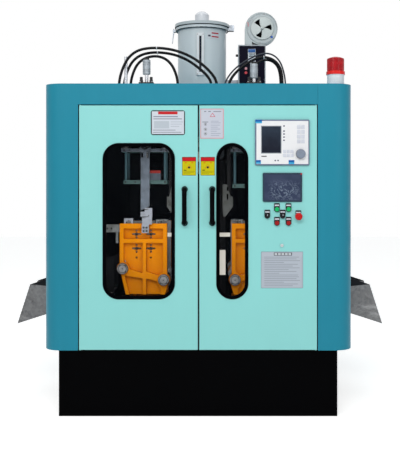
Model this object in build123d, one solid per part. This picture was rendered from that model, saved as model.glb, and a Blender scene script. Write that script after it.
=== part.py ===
from build123d import *
import math
import os

# Blow moulding machine with two shuttling clamp units and two blow stations.
# Frame: origin on the floor under the middle of the plinth, +X to the right of the operator,
# +Y towards the rear, +Z up. Millimetres. A depth is measured back from the front skin.

# Front layout, from the seam of the doors outwards
SEAM_X = 3.0
SEAM_GAP = 8.0
LEFT_HANDLE_X = SEAM_X - 76.0
RIGHT_HANDLE_X = SEAM_X + 75.0
RIGHT_WINDOW_W = 176.0
RIGHT_WINDOW_X = (SEAM_X + 96.5, SEAM_X + 96.5 + RIGHT_WINDOW_W)
CONTROLLER_W = 297.0
CONTROLLER_X = (RIGHT_WINDOW_X[1] + 36.5, RIGHT_WINDOW_X[1] + 36.5 + CONTROLLER_W)
CONTROLLER_MARGIN = 47.0
OPENING_HALF_W = CONTROLLER_X[1] + CONTROLLER_MARGIN
LEFT_WINDOW_X = (134.0 - OPENING_HALF_W, SEAM_X - 129.0)
CORNER_PANEL_W = 194.0

# Cabinet
CABINET_W = 2 * (OPENING_HALF_W + CORNER_PANEL_W)
CABINET_D = 1900.0
CABINET_TOP = 1825.0
CORNER_R = 100.0
SKIN_T = 3.0
ROOF_TOP = CABINET_TOP - SKIN_T
PLINTH_H = 364.0
PLINTH_W = CABINET_W - 170.0
PLINTH_SETBACK = 20.0
PLINTH_T = 4.0
DECK_T = 6.0
OPENING_TOP = 1710.0
RETURN_D = 32.0
TUBE = 50.0
SEAT_GAP = 0.3

# Doors
DOOR_D = 28.0
DOOR_T = 2.5
DOOR_EDGE_GAP = 5.0
DOOR_BOTTOM_GAP = 3.0
DOOR_LIP = 12.0
PIVOT_R = 3.0
PIVOT_INSET = 6.0
WINDOW_TOP = 1499.0
WINDOW_BOTTOM = 644.0
LEFT_WINDOW_R = 88.0
SEAL_W = 19.0
SEAL_PROUD = 4.0
SEAL_D = 14.0
PANE_T = 5.0
HANDLE_R = 13.0
HANDLE_STANDOFF = 48.0
HANDLE_BEND = 26.0
HANDLE_TOP = 1259.0
HANDLE_BOTTOM = 1049.0

# Controls on the right door
CONTROLLER_Z = (1377.0, 1626.0)
CONTROLLER_PROUD = 12.0
CONTROLLER_D = 70.0
SCREEN_X = (CONTROLLER_X[0] + 37.0, CONTROLLER_X[0] + 139.0)
SCREEN_Z = (1446.0, 1588.0)
KNOB_X = CONTROLLER_X[1] - 49.0
KNOB_Z = 1439.5
KNOB_R = 25.5
KNOB_H = 22.0
TOUCH_X = (CONTROLLER_X[0] + 42.0, CONTROLLER_X[1] - 40.0)
TOUCH_Z = (1177.0, 1336.0)
TOUCH_PROUD = 8.0
TOUCH_D = 50.0
BUTTON_ROW_X = (CONTROLLER_X[0] + 119.5, CONTROLLER_X[0] + 183.0)
GREEN_Z = 1137.0
RED_Z = 1062.0
SELECTOR_SPOTS = ((CONTROLLER_X[0] + 67.0, 1101.0), (CONTROLLER_X[0] + 151.0, 1101.0))
ESTOP_SPOT = (CONTROLLER_X[0] + 236.5, 1098.0)
BEZEL_R = 15.0
BEZEL_PROUD = 10.0
BARREL_R = 11.0
BARREL_D = 35.0
CAP_R = 12.0
STEM_R = 8.0
ESTOP_R = 20.0
LOCK_X = CONTROLLER_X[0] + 147.0
LOCK_Z = 939.0
LOCK_R = 8.5

# Clamp units, at their blow stations
STATION_X = 327.0
RUNNING = 0.05
PLATEN_DEPTH = 300.0
PLATEN_T = 45.0
PLATEN_HALF_W = 138.0
PLATEN_TOP = 1045.0
PLATEN_FOOT = 631.0
PLATEN_RIM = 23.0
POCKET_D = 26.0
DAYLIGHT = 340.0
OUTER_BAR = (120.0, 783.0)
INNER_BAR = (119.0, 717.0)
BAR_R = 21.5
BAR_NUT_R = 32.5
BAR_NUT_H = 22.0
BOSS_R = 36.0
CLAMP_AXIS_Z = 790.0
BUSH_PLATE_DEPTH = 830.0
BUSH_PLATE_T = 40.0
BUSH_L = 140.0
YOKE_DEPTH = 1130.0
YOKE_T = 35.0
CYLINDER_DEPTH = 880.0
CYLINDER_R = 55.0
CYLINDER_BORE_R = 45.0
CLAMP_ROD_R = 25.0
RAIL_DEPTHS = (670.0, 830.0)
RAIL_SIZE = 30.0
BED_TOP = 480.0
SADDLE_TOP = 560.0

# Blow stations
BLOW_DEPTH = 515.0
BEAM_HALF_W = 143.0
BEAM_D = 190.0
BEAM_TOP = 1488.0
BEAM_T = 20.0
SLIDE_HALF_W = 130.0
SLIDE_TOP = 1299.0
SLIDE_T = 23.0
RIGHT_SLIDE_DROP = 23.0
GUIDE_R = 7.5
GUIDE_X = 117.0
GUIDE_Y = 75.0
GUIDE_TOP = 1640.0
BLOW_CYL_R = 40.0
BLOW_BORE_R = 33.0
BLOW_CYL_TOP = ROOF_TOP + 70.0
BLOW_ROD_R = 11.0
SLEEVE_R = 23.5
SLEEVE_Z = (BLOW_CYL_TOP + 52.0, BLOW_CYL_TOP + 139.0)
BLOW_PIN_R = 14.0

# Extruder on the centre line
SCREW_Z = 1640.0
SCREW_R = 27.4
BARREL_BORE_R = 27.5
BARREL_OUT_R = 50.0
DIE_R = 70.0
BARREL_FRONT = BLOW_DEPTH + DIE_R + 5.0
HOPPER_DEPTH = BARREL_FRONT + 410.0
GEARBOX_FRONT = HOPPER_DEPTH + 180.0
DIE_Z = (1385.0, 1710.0)

# Hopper dryer
HOPPER_R = 161.0
HOPPER_T = 3.0
HOPPER_RING_R = 175.0
LID_R = 181.0
LID_Z = 2337.0
RING_Z = 2296.0
CONE_TOP = 1880.0
NECK_R = 55.0
NECK_Z = 1768.0
THROAT_Z = 1745.0
LID_PIVOT = (203.0, 2322.0)
VENT_R = 47.0
VENT_TOP = 2431.0
BOX_X = (241.0, 422.0)
BOX_Z = (1866.0, 2196.0)
BOX_FRONT = HOPPER_DEPTH - 70.0
BOX_D = 150.0
BLOWER_X = 399.0
BLOWER_Z = 2305.0
SCROLL_R = 102.0
SCROLL_GROWTH = 5.5
OUTLET_X = (286.0, 331.0)
DAMPER_R = 76.0
BLOWER_SETBACK = 5.0
BLOWER_W = 90.0

# Beacon
BEACON_X = CABINET_W / 2 - 85.0
BEACON_DEPTH = 90.0
BEACON_BASE_R = 47.0
BEACON_FLANGE_R = 52.0
LENS_R = 47.0
LENS_T = 2.5
LENS_RIBS = 28

# Product chutes
CHUTE_DEPTH = (412.0, 617.0)
CHUTE_T = 3.0
CHUTE_LIP_X = CABINET_W / 2 + 239.0
CHUTE_LIP_Z = 443.0
CHUTE_SLOPE = 0.322
CHUTE_WALL = 246.0
CHUTE_INNER_X = 512.0

# Hoses
HOSE_R = 8.5
GREY_TUBE_R = 5.0
ARCH_HOSE_R = 7.0
GLAND_H = 20.0

FRONT = -CABINET_D / 2
REAR = CABINET_D / 2
DECK_TOP = PLINTH_H + DECK_T
BLOW_Y = FRONT + BLOW_DEPTH
HOPPER_Y = FRONT + HOPPER_DEPTH


def block(x, y, z):
    """Box between three pairs of limits."""
    size = Box(x[1] - x[0], y[1] - y[0], z[1] - z[0])
    return Pos((x[0] + x[1]) / 2, (y[0] + y[1]) / 2, (z[0] + z[1]) / 2) * size


def rod_x(y, z, x, r):
    return Pos((x[0] + x[1]) / 2, y, z) * Rot(0, 90, 0) * Cylinder(r, x[1] - x[0])


def rod_y(x, z, y, r):
    return Pos(x, (y[0] + y[1]) / 2, z) * Rot(90, 0, 0) * Cylinder(r, y[1] - y[0])


def rod_z(x, y, z, r):
    return Pos(x, y, (z[0] + z[1]) / 2) * Cylinder(r, z[1] - z[0])


def upright(outline, y):
    """Outline drawn in X and Z, made solid between two Y limits."""
    return extrude(Plane.XZ.offset(-y[1]) * outline, amount=y[1] - y[0], dir=(0, -1, 0))


def flat(outline, z):
    """Outline drawn in X and Y, made solid between two Z limits."""
    return extrude(Plane.XY.offset(z[0]) * outline, amount=z[1] - z[0], dir=(0, 0, 1))


def depth(*values):
    """Y positions of depths behind the front skin."""
    return tuple(FRONT + value for value in values)


def fused(pieces):
    """One solid from pieces that overlap."""
    whole = pieces[0]
    for piece in pieces[1:]:
        whole = whole + piece
    return whole


def keep(name, *pieces):
    """Write one node, as one solid or as a group of separate solids."""
    solids = [solid for piece in pieces for solid in piece.solids()]
    shape = solids[0] if len(solids) == 1 else Compound(children=solids)
    export_step(shape, f"parts/{name}.step")


def rounded_slot(x, z, r):
    """Rounded rectangle between two X and two Z limits."""
    width = x[1] - x[0]
    height = z[1] - z[0]
    return Pos((x[0] + x[1]) / 2, (z[0] + z[1]) / 2) * RectangleRounded(width, height, r)


# Cabinet skin: folded sheet with rounded front corners

def cabinet_plan(inset):
    """Plan of the cabinet, inset from its outer skin, with the two front corners rounded."""
    plan = Rectangle(CABINET_W - 2 * inset, CABINET_D - 2 * inset)
    front_corners = plan.vertices().sort_by(Axis.Y)[:2]
    return fillet(front_corners, CORNER_R - inset)


def skin_ring():
    ring_z = (PLINTH_H, CABINET_TOP)
    return flat(cabinet_plan(0), ring_z) - flat(cabinet_plan(SKIN_T), ring_z)


SIDE_SEAM = FRONT + CORNER_R + 10
COLUMN_Y = (FRONT - 1, SIDE_SEAM)
RETURN_Y = (FRONT, FRONT + RETURN_D)


def column(skin, side):
    """Rounded corner column with the folded edge beside the door opening."""
    edge = side * OPENING_HALF_W
    outer = side * (CABINET_W / 2 + 1)
    reach = sorted((edge, outer))
    fold = sorted((edge, edge + side * SKIN_T))
    body = skin & block(reach, COLUMN_Y, (PLINTH_H, CABINET_TOP))
    return body + block(fold, RETURN_Y, (PLINTH_H, OPENING_TOP + SKIN_T))


def make_skin():
    skin = skin_ring()
    band_x = (-OPENING_HALF_W - 1, OPENING_HALF_W - 0.5)
    band = skin & block(band_x, COLUMN_Y, (OPENING_TOP, CABINET_TOP))
    lower_fold = block(band_x, RETURN_Y, (OPENING_TOP, OPENING_TOP + SKIN_T))
    for side in (-1, 1):
        pivot_x = side * (OPENING_HALF_W - DOOR_EDGE_GAP - PIVOT_INSET)
        lower_fold -= rod_z(pivot_x, PIVOT_Y, (OPENING_TOP - 1, OPENING_TOP + SKIN_T + 1), PIVOT_R + RUNNING)
    upper_fold = block(band_x, RETURN_Y, (ROOF_TOP - 2 * SKIN_T, ROOF_TOP - SKIN_T))
    keep("front_fascia", fused([column(skin, -1), band, lower_fold, upper_fold]))
    keep("right_corner_panel", column(skin, 1))

    chute_y = depth(CHUTE_DEPTH[0] - 8, CHUTE_DEPTH[1] + 8)
    chute_base = chute_floor_z(CABINET_W / 2) - SEAT_GAP
    chute_z = (chute_base, chute_base + CHUTE_WALL * 0.93)
    sides = []
    for side in (-1, 1):
        wall_x = sorted((side * CABINET_W / 2, side * (CABINET_W / 2 - SKIN_T)))
        wall = block(wall_x, (SIDE_SEAM + 1, REAR), (PLINTH_H, CABINET_TOP))
        sides.append(wall - block((wall_x[0] - 1, wall_x[1] + 1), chute_y, chute_z))
    inner_half = CABINET_W / 2 - SKIN_T - SEAT_GAP
    rear = block((-inner_half, inner_half), (REAR - SKIN_T, REAR), (PLINTH_H, CABINET_TOP))
    for row in range(9):
        louvre_z = 1080 + row * 42
        for louvre_x in (-420, 420):
            slot = rounded_slot((louvre_x - 130, louvre_x + 130), (louvre_z, louvre_z + 14), 6.9)
            rear -= upright(slot, (REAR - SKIN_T - 1, REAR + 1))
    keep("cabinet_panels", *sides, rear)


def make_roof():
    """Roof sheet inside the top edge of the skin, open round the hopper, cylinders and post."""
    roof = flat(cabinet_plan(SKIN_T + SEAT_GAP), (ROOF_TOP - SKIN_T, ROOF_TOP))
    hole_z = (ROOF_TOP - 2 * SKIN_T, ROOF_TOP + SKIN_T)
    half = HOPPER_R - 31
    roof -= block((-half, half), (HOPPER_Y - half, HOPPER_Y + half), hole_z)
    for side in (-1, 1):
        roof -= rod_z(side * STATION_X, BLOW_Y, hole_z, BLOW_CYL_R + 4)
    keep("roof_panel", roof)


def make_plinth():
    """Welded base: skirt, foot flange, cross members, deck plate and door pivot lugs."""
    half_w = PLINTH_W / 2
    front = FRONT + PLINTH_SETBACK
    rear = REAR - PLINTH_SETBACK
    foot = 60.0
    outer = block((-half_w, half_w), (front, rear), (0, PLINTH_H))
    inner_x = (-half_w + PLINTH_T, half_w - PLINTH_T)
    inner_y = (front + PLINTH_T, rear - PLINTH_T)
    hollow = block(inner_x, inner_y, (-1, PLINTH_H + 1))
    skirt = outer - hollow
    foot_hole = block((-half_w + foot, half_w - foot), (front + foot, rear - foot), (-1, 11))
    flange = block(inner_x, inner_y, (0, 10)) - foot_hole
    for x in (-half_w + foot / 2, half_w - foot / 2):
        for y in (front + foot / 2, rear - foot / 2):
            flange -= rod_z(x, y, (-1, 11), ANCHOR_R)
    beams = []
    for y in (-560.0, 0.0, 560.0):
        beams.append(block(inner_x, (y - 40, y + 40), (PLINTH_H - 100, PLINTH_H)))
    deck = flat(cabinet_plan(SKIN_T + SEAT_GAP), (PLINTH_H, DECK_TOP))
    door_recess_y = (FRONT - 1, FRONT + RETURN_D)
    recess_half = OPENING_HALF_W + SKIN_T + SEAT_GAP
    deck -= block((-recess_half, recess_half), door_recess_y, (PLINTH_H - 1, DECK_TOP + 1))
    lugs = []
    for side in (-1, 1):
        pivot_x = side * (OPENING_HALF_W - DOOR_EDGE_GAP - PIVOT_INSET)
        lug_x = (pivot_x - 20, pivot_x + 20)
        lug = block(lug_x, (FRONT - 1, front), (PLINTH_H - 8, PLINTH_H))
        lugs.append(lug - rod_z(pivot_x, PIVOT_Y, (PLINTH_H - 9, PLINTH_H + 1), PIVOT_R + RUNNING))
    keep("plinth", fused([skirt, flange] + beams + lugs), deck)


ANCHOR_R = 11.0
PIVOT_Y = FRONT + PIVOT_INSET


def chute_floor_z(x):
    """Height of the underside of a chute at a distance from the centre line."""
    return CHUTE_LIP_Z + CHUTE_SLOPE * (CHUTE_LIP_X - abs(x))


def make_chutes():
    """Two folded sheet troughs that slope down and out through the side panels."""
    slope = math.atan(CHUTE_SLOPE)
    rise_x = CHUTE_WALL * math.sin(slope)
    rise_z = CHUTE_WALL * math.cos(slope)
    lip = (CHUTE_LIP_X, CHUTE_LIP_Z)
    crest = (CHUTE_LIP_X - rise_x, CHUTE_LIP_Z + rise_z)
    inner_top = (CHUTE_INNER_X, crest[1] + CHUTE_SLOPE * (crest[0] - CHUTE_INNER_X))
    inner_foot = (CHUTE_INNER_X, chute_floor_z(CHUTE_INNER_X))
    outside = upright(Polygon(lip, crest, inner_top, inner_foot, align=None), depth(*CHUTE_DEPTH))
    lift = CHUTE_T / math.cos(slope)
    far_x = CHUTE_LIP_X + 60
    near_x = CHUTE_INNER_X - 60
    far_z = CHUTE_LIP_Z - CHUTE_SLOPE * 60 + lift
    near_z = chute_floor_z(near_x) + lift
    high = 400.0
    trough = Polygon((far_x, far_z), (far_x, far_z + high), (near_x, near_z + high), (near_x, near_z),
                     align=None)
    inner_depth = depth(CHUTE_DEPTH[0] + CHUTE_T, CHUTE_DEPTH[1] - CHUTE_T)
    right = outside - upright(trough, inner_depth)
    left = mirror(right, about=Plane.YZ)
    keep("product_chutes", left, right)


def make_inner_frame():
    """Square tube frame: posts, rails, blow station rails, barrel hanger and gearbox stand."""
    post_x = OPENING_HALF_W + SKIN_T
    post_y = (FRONT + RETURN_D + SEAT_GAP, FRONT + RETURN_D + SEAT_GAP + TUBE)
    rail_top = ROOF_TOP - SKIN_T
    rail_z = (rail_top - TUBE, rail_top)
    tubes = []
    for side in (-1, 1):
        x = sorted((side * post_x, side * (post_x + TUBE)))
        tubes.append(block(x, post_y, (DECK_TOP, rail_top)))
    lintel_z = (OPENING_TOP + SKIN_T, OPENING_TOP + SKIN_T + TUBE)
    tubes.append(block((-post_x, post_x), post_y, lintel_z))
    reach = CABINET_W / 2 - SKIN_T - 7
    front_y = (post_y[1], post_y[1] + TUBE)
    rear_y = (REAR - SKIN_T - SEAT_GAP - TUBE, REAR - SKIN_T - SEAT_GAP)
    tubes.append(block((-reach, reach), front_y, rail_z))
    for side in (-1, 1):
        x = sorted((side * reach, side * (reach - TUBE)))
        tubes.append(block(x, (front_y[1], rear_y[0]), rail_z))
        tubes.append(block(x, rear_y, (DECK_TOP, rail_top)))
    span = (-reach + TUBE, reach - TUBE)
    tubes.append(block(span, rear_y, rail_z))
    for rail_depth in BLOW_RAIL_DEPTHS:
        tubes.append(block(span, depth(rail_depth, rail_depth + TUBE), rail_z))
    tubes.append(block(span, depth(HANGER_DEPTH - TUBE / 2, HANGER_DEPTH + TUBE / 2), rail_z))
    hanger_y = depth(HANGER_DEPTH - 6, HANGER_DEPTH + 6)
    hanger = block((-80, 80), hanger_y, (SCREW_Z - 75, rail_z[0]))
    bore_y = depth(HANGER_DEPTH - 7, HANGER_DEPTH + 7)
    tubes.append(hanger - rod_y(0, SCREW_Z, bore_y, BARREL_OUT_R + SEAT_GAP))
    stand_y = depth(GEARBOX_FRONT + 118, GEARBOX_FRONT + 300)
    for side in (-1, 1):
        x = sorted((side * 160, side * 110))
        for y in (stand_y[0], stand_y[1] - TUBE):
            tubes.append(block(x, (y, y + TUBE), (DECK_TOP, GEARBOX_Z[0] - 20)))
    tubes.append(block((-170, 170), stand_y, (GEARBOX_Z[0] - 20, GEARBOX_Z[0])))
    stop_y = (post_y[0], post_y[0] + 30)
    tubes.append(block((SEAM_X - 15, SEAM_X + 15), stop_y, (DECK_TOP, STOP_TOP)))
    bar_x = (SEAM_X - STOP_BAR_HALF, SEAM_X + STOP_BAR_HALF)
    tubes.append(block(bar_x, (stop_y[1], stop_y[1] + 6), (STOP_TOP - 22, STOP_TOP)))
    plate_x = (SEAM_X - STOP_PLATE_HALF, SEAM_X + STOP_PLATE_HALF)
    tubes.append(block(plate_x, (stop_y[1], stop_y[1] + 3), STOP_PLATE_Z))
    keep("inner_frame", *tubes)


STOP_TOP = 1005.0
STOP_BAR_HALF = 174.0
STOP_PLATE_HALF = 148.0
STOP_PLATE_Z = (771.0, 909.0)
BLOW_RAIL_DEPTHS = (BLOW_DEPTH - BEAM_D / 2, BLOW_DEPTH + BEAM_D / 2 - TUBE)
HANGER_DEPTH = BARREL_FRONT + 175.0
GEARBOX_Z = (1450.0, 1790.0)


# Doors

def door_leaf(x, windows, pivot_side):
    """Folded leaf with returned edges, window cut-outs and two pivot pins."""
    z = (PLINTH_H + DOOR_BOTTOM_GAP, OPENING_TOP - DOOR_EDGE_GAP)
    y = (FRONT, FRONT + DOOR_D)
    leaf = block(x, y, z)
    leaf = fillet(leaf.faces().sort_by(Axis.Y)[0].edges(), 2.0)
    inner_x = (x[0] + DOOR_T, x[1] - DOOR_T)
    inner_z = (z[0] + DOOR_T, z[1] - DOOR_T)
    leaf -= block(inner_x, (FRONT + DOOR_T, y[1] - DOOR_T), inner_z)
    mouth_x = (x[0] + DOOR_LIP, x[1] - DOOR_LIP)
    mouth_z = (z[0] + DOOR_LIP, z[1] - DOOR_LIP)
    leaf -= block(mouth_x, (y[1] - DOOR_T - 1, y[1] + 1), mouth_z)
    for window in windows:
        leaf -= upright(window, (FRONT - 1, FRONT + DOOR_T + 1))
    pivot_x = x[0] + PIVOT_INSET if pivot_side < 0 else x[1] - PIVOT_INSET
    pin_low = rod_z(pivot_x, PIVOT_Y, (PLINTH_H - 7, z[0] + 12), PIVOT_R)
    washer = rod_z(pivot_x, PIVOT_Y, (PLINTH_H + SEAT_GAP, z[0] + 1), PIVOT_INSET - 0.5)
    pin_high = rod_z(pivot_x, PIVOT_Y, (z[1] - 12, OPENING_TOP + SKIN_T + 2), PIVOT_R)
    return fused([leaf, pin_low, washer, pin_high])


def window_seal(x, r):
    """Rubber section that grips the door sheet outside and the pane inside."""
    z = (WINDOW_BOTTOM, WINDOW_TOP)
    y = (FRONT - SEAL_PROUD, FRONT - SEAL_PROUD + SEAL_D)
    ring = upright(rounded_slot(x, z, r), y)
    ring = fillet(ring.faces().sort_by(Axis.Y)[0].edges(), 2.5)
    ring -= upright(inset_slot(x, z, r, SEAL_W), (y[0] - 1, y[1] + 1))
    groove = upright(rounded_slot((x[0] - 5, x[1] + 5), (z[0] - 5, z[1] + 5), r + 5), (FRONT, FRONT + DOOR_T))
    groove -= upright(inset_slot(x, z, r, SEAL_W * 0.42), (FRONT - 1, FRONT + DOOR_T + 1))
    pane_y = (FRONT + 0.2, FRONT + 0.2 + PANE_T)
    return ring - groove - upright(inset_slot(x, z, r, SEAL_W * 0.6), pane_y)


def inset_slot(x, z, r, inset):
    return rounded_slot((x[0] + inset, x[1] - inset), (z[0] + inset, z[1] - inset), r - inset)


def pull_handle(x):
    """Bent tube handle with a small foot at each end."""
    low = HANDLE_BOTTOM + HANDLE_R
    high = HANDLE_TOP - HANDLE_R
    out = FRONT - HANDLE_STANDOFF
    corners = [(x, FRONT, low), (x, out, low), (x, out, high), (x, FRONT, high)]
    path = FilletPolyline(*corners, radius=HANDLE_BEND)
    tube = sweep(Plane(origin=path @ 0, z_dir=path % 0) * Circle(HANDLE_R), path=path)
    feet = [rod_y(x, z, (FRONT - 4, FRONT), HANDLE_R + 4) for z in (low, high)]
    return fused([tube] + feet)


def door_x(side):
    """X limits of a leaf."""
    outer = side * (OPENING_HALF_W - DOOR_EDGE_GAP)
    inner = SEAM_X + side * SEAM_GAP / 2
    return tuple(sorted((outer, inner)))


def make_doors():
    z = (WINDOW_BOTTOM, WINDOW_TOP)
    right_r = (RIGHT_WINDOW_X[1] - RIGHT_WINDOW_X[0]) / 2 - 0.01
    cut = SEAL_W * 0.42
    windows = ((LEFT_WINDOW_X, LEFT_WINDOW_R), (RIGHT_WINDOW_X, right_r))
    cuts = [inset_slot(x, z, r, cut) for x, r in windows]
    keep("left_door", door_leaf(door_x(-1), [cuts[0]], -1))
    right = door_leaf(door_x(1), [cuts[1]], 1)
    right -= block(controller_body_x(), (FRONT - 1, FRONT + DOOR_T + 1), controller_body_z())
    right -= block(touch_body_x(), (FRONT - 1, FRONT + DOOR_T + 1), touch_body_z())
    for spot in control_spots():
        right -= rod_y(spot[0], spot[1], (FRONT - 1, FRONT + DOOR_T + 1), BARREL_R + SEAT_GAP)
    right -= rod_y(LOCK_X, LOCK_Z, (FRONT - 1, FRONT + DOOR_T + 1), LOCK_STEM_R + RUNNING)
    keep("right_door", right)
    for name, (x, r), handle_x in zip(("left", "right"), windows, (LEFT_HANDLE_X, RIGHT_HANDLE_X)):
        keep(f"{name}_window_seal", window_seal(x, r))
        pane = inset_slot(x, z, r, SEAL_W * 0.6 + SEAT_GAP)
        keep(f"{name}_pane", upright(pane, (FRONT + 0.2, FRONT + 0.2 + PANE_T)))
        keep(f"{name}_handle", pull_handle(handle_x))


# Controls

LOCK_STEM_R = 5.0
BODY_MARGIN = 10.0


def controller_body_x():
    return (CONTROLLER_X[0] + BODY_MARGIN, CONTROLLER_X[1] - BODY_MARGIN)


def controller_body_z():
    return (CONTROLLER_Z[0] + BODY_MARGIN, CONTROLLER_Z[1] - BODY_MARGIN)


def touch_body_x():
    return (TOUCH_X[0] + BODY_MARGIN, TOUCH_X[1] - BODY_MARGIN)


def touch_body_z():
    return (TOUCH_Z[0] + BODY_MARGIN, TOUCH_Z[1] - BODY_MARGIN)


def control_spots():
    """Centres of the four push buttons, the two selectors and the emergency stop."""
    spots = [(x, GREEN_Z) for x in BUTTON_ROW_X]
    spots += [(x, RED_Z) for x in BUTTON_ROW_X]
    return spots + list(SELECTOR_SPOTS) + [ESTOP_SPOT]


def panel_housing(x, z, proud, body_x, body_z, deep):
    """Bezel in front of the door and a housing through it."""
    bezel = upright(rounded_slot(x, z, 6), (FRONT - proud, FRONT))
    bezel = fillet(bezel.faces().sort_by(Axis.Y)[0].edges(), 3.0)
    gap = SEAT_GAP
    inner_x = (body_x[0] + gap, body_x[1] - gap)
    inner_z = (body_z[0] + gap, body_z[1] - gap)
    return bezel + block(inner_x, (FRONT - 1, FRONT + deep), inner_z)


def push_cap(x, z, head):
    """Button cap: a domed head and the stem that runs in the bezel."""
    back = FRONT - BEZEL_PROUD + 3
    cap = rod_y(x, z, (back - head, back), CAP_R)
    cap = fillet(cap.faces().sort_by(Axis.Y)[0].edges(), 1.5)
    return cap + rod_y(x, z, (back - 1, FRONT + 22), STEM_R)


def selector_knob(x, z):
    back = FRONT - BEZEL_PROUD + 3
    disc = rod_y(x, z, (back - 6, back), CAP_R)
    grip = upright(rounded_slot((x - 4, x + 4), (z - 11.5, z + 11.5), 3.5), (back - 17, back - 5))
    return fused([disc, grip, rod_y(x, z, (back - 1, FRONT + 22), STEM_R)])


def legend_holder(x, z):
    """Plate behind a bezel, with a shallow seat for the label above the button."""
    shield = Pos(x, z) * Circle(HOLDER_HALF_W)
    shield += rounded_slot((x - HOLDER_HALF_W, x + HOLDER_HALF_W), (z, z + HOLDER_TOP), 4)
    seat = block((x - 13, x + 13), (FRONT - HOLDER_T - 1, FRONT - HOLDER_T + 0.8), (z + 16, z + 26))
    return upright(shield, (FRONT - HOLDER_T, FRONT)) - seat


HOLDER_HALF_W = 15.5
HOLDER_TOP = 33.0
HOLDER_T = 2.5


def make_controls():
    controller = panel_housing(CONTROLLER_X, CONTROLLER_Z, CONTROLLER_PROUD,
                               controller_body_x(), controller_body_z(), CONTROLLER_D)
    face_y = FRONT - CONTROLLER_PROUD
    controller -= upright(rounded_slot(SCREEN_X, SCREEN_Z, 2), (face_y - 1, face_y + 2))
    controller -= rod_y(KNOB_X, KNOB_Z, (face_y - 1, face_y + 30), 4 + RUNNING)
    keep("controller_body", controller)
    knob = rod_y(KNOB_X, KNOB_Z, (face_y - KNOB_H, face_y - SEAT_GAP), KNOB_R)
    knob = fillet(knob.faces().sort_by(Axis.Y)[0].edges(), 3.0)
    for step in range(20):
        angle = math.radians(step * 18)
        flute_x = KNOB_X + (KNOB_R + 0.9) * math.cos(angle)
        flute_z = KNOB_Z + (KNOB_R + 0.9) * math.sin(angle)
        knob -= rod_y(flute_x, flute_z, (face_y - KNOB_H - 1, face_y - 5), 2.0)
    keep("controller_knob", knob + rod_y(KNOB_X, KNOB_Z, (face_y - 4, face_y + 25), 4))
    touch = panel_housing(TOUCH_X, TOUCH_Z, TOUCH_PROUD, touch_body_x(), touch_body_z(), TOUCH_D)
    glass = rounded_slot((TOUCH_X[0] + 9, TOUCH_X[1] - 9), (TOUCH_Z[0] + 9, TOUCH_Z[1] - 9), 2)
    keep("touch_panel", touch - upright(glass, (FRONT - TOUCH_PROUD - 1, FRONT - TOUCH_PROUD + 1.5)))

    bezels = []
    for x, z in control_spots():
        ring = rod_y(x, z, (FRONT - BEZEL_PROUD, FRONT), BEZEL_R)
        ring -= rod_y(x, z, (FRONT - BEZEL_PROUD - 1, FRONT - 2.5), CAP_R + SEAT_GAP)
        body = ring + rod_y(x, z, (FRONT - 1, FRONT + BARREL_D), BARREL_R)
        body += legend_holder(x, z) - rod_y(x, z, (FRONT - HOLDER_T - 1, FRONT + 1), BEZEL_R - 1)
        bezels.append(body - rod_y(x, z, (FRONT - 3, FRONT + BARREL_D - 5), STEM_R + RUNNING))
    keep("button_bezels", *bezels)
    for name, x in zip(("left", "right"), BUTTON_ROW_X):
        keep(f"green_button_{name}", push_cap(x, GREEN_Z, 7.0))
        keep(f"red_button_{name}", push_cap(x, RED_Z, 7.0))
    for name, spot in zip(("left", "right"), SELECTOR_SPOTS):
        keep(f"selector_{name}", selector_knob(*spot))
    x, z = ESTOP_SPOT
    neck = rod_y(x, z, (FRONT - 22, FRONT + 22), STEM_R)
    head = rod_y(x, z, (FRONT - 38, FRONT - 20), ESTOP_R)
    head = fillet(head.faces().sort_by(Axis.Y)[0].edges(), 6.0)
    keep("estop_button", neck + head)
    stem = rod_y(LOCK_X, LOCK_Z, (FRONT - 1, FRONT + 26), LOCK_STEM_R)
    lock = rod_y(LOCK_X, LOCK_Z, (FRONT - 8, FRONT - SEAT_GAP), LOCK_R)
    lock -= block((LOCK_X - 6, LOCK_X + 6), (FRONT - 9, FRONT - 5.5), (LOCK_Z - 1, LOCK_Z + 1))
    cam = block((LOCK_X - 6, LOCK_X + 34), (FRONT + 21, FRONT + 24), (LOCK_Z - 6, LOCK_Z + 6))
    keep("lock_knob", fused([lock, stem, cam]))


# Clamp units

# Each station is drawn on the left and mirrored to the right
CENTRE = -STATION_X
OUTER_SPOT = (CENTRE - OUTER_BAR[0], OUTER_BAR[1])
INNER_SPOT = (CENTRE + INNER_BAR[0], INNER_BAR[1])
BAR_SPOTS = (OUTER_SPOT, INNER_SPOT)


def both_hands(pieces):
    """Pieces of the left station and the same pieces mirrored."""
    return list(pieces) + [mirror(piece, about=Plane.YZ) for piece in pieces]


def keep_pair(node, *pieces):
    """Write a node of the left station and its mirror image on the right."""
    keep(f"left_{node}", *pieces)
    keep(f"right_{node}", *[mirror(piece, about=Plane.YZ) for piece in pieces])


def platen_outline():
    """Tall plate that tapers below its two diagonal bosses."""
    outer = CENTRE - PLATEN_HALF_W
    inner = CENTRE + PLATEN_HALF_W
    (ox, oz), (ix, iz) = BAR_SPOTS
    sheet = Polygon((inner, PLATEN_TOP), (outer, PLATEN_TOP), (outer, oz + 40), (ox - 8, oz - 40),
                    (CENTRE - FOOT_OUTER, PLATEN_FOOT), (CENTRE + FOOT_INNER, PLATEN_FOOT),
                    (ix + 22, iz - 40), (inner, iz + 60), align=None)
    for x, z in BAR_SPOTS:
        sheet += Pos(x, z) * Circle(BOSS_R)
    return sheet


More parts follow.
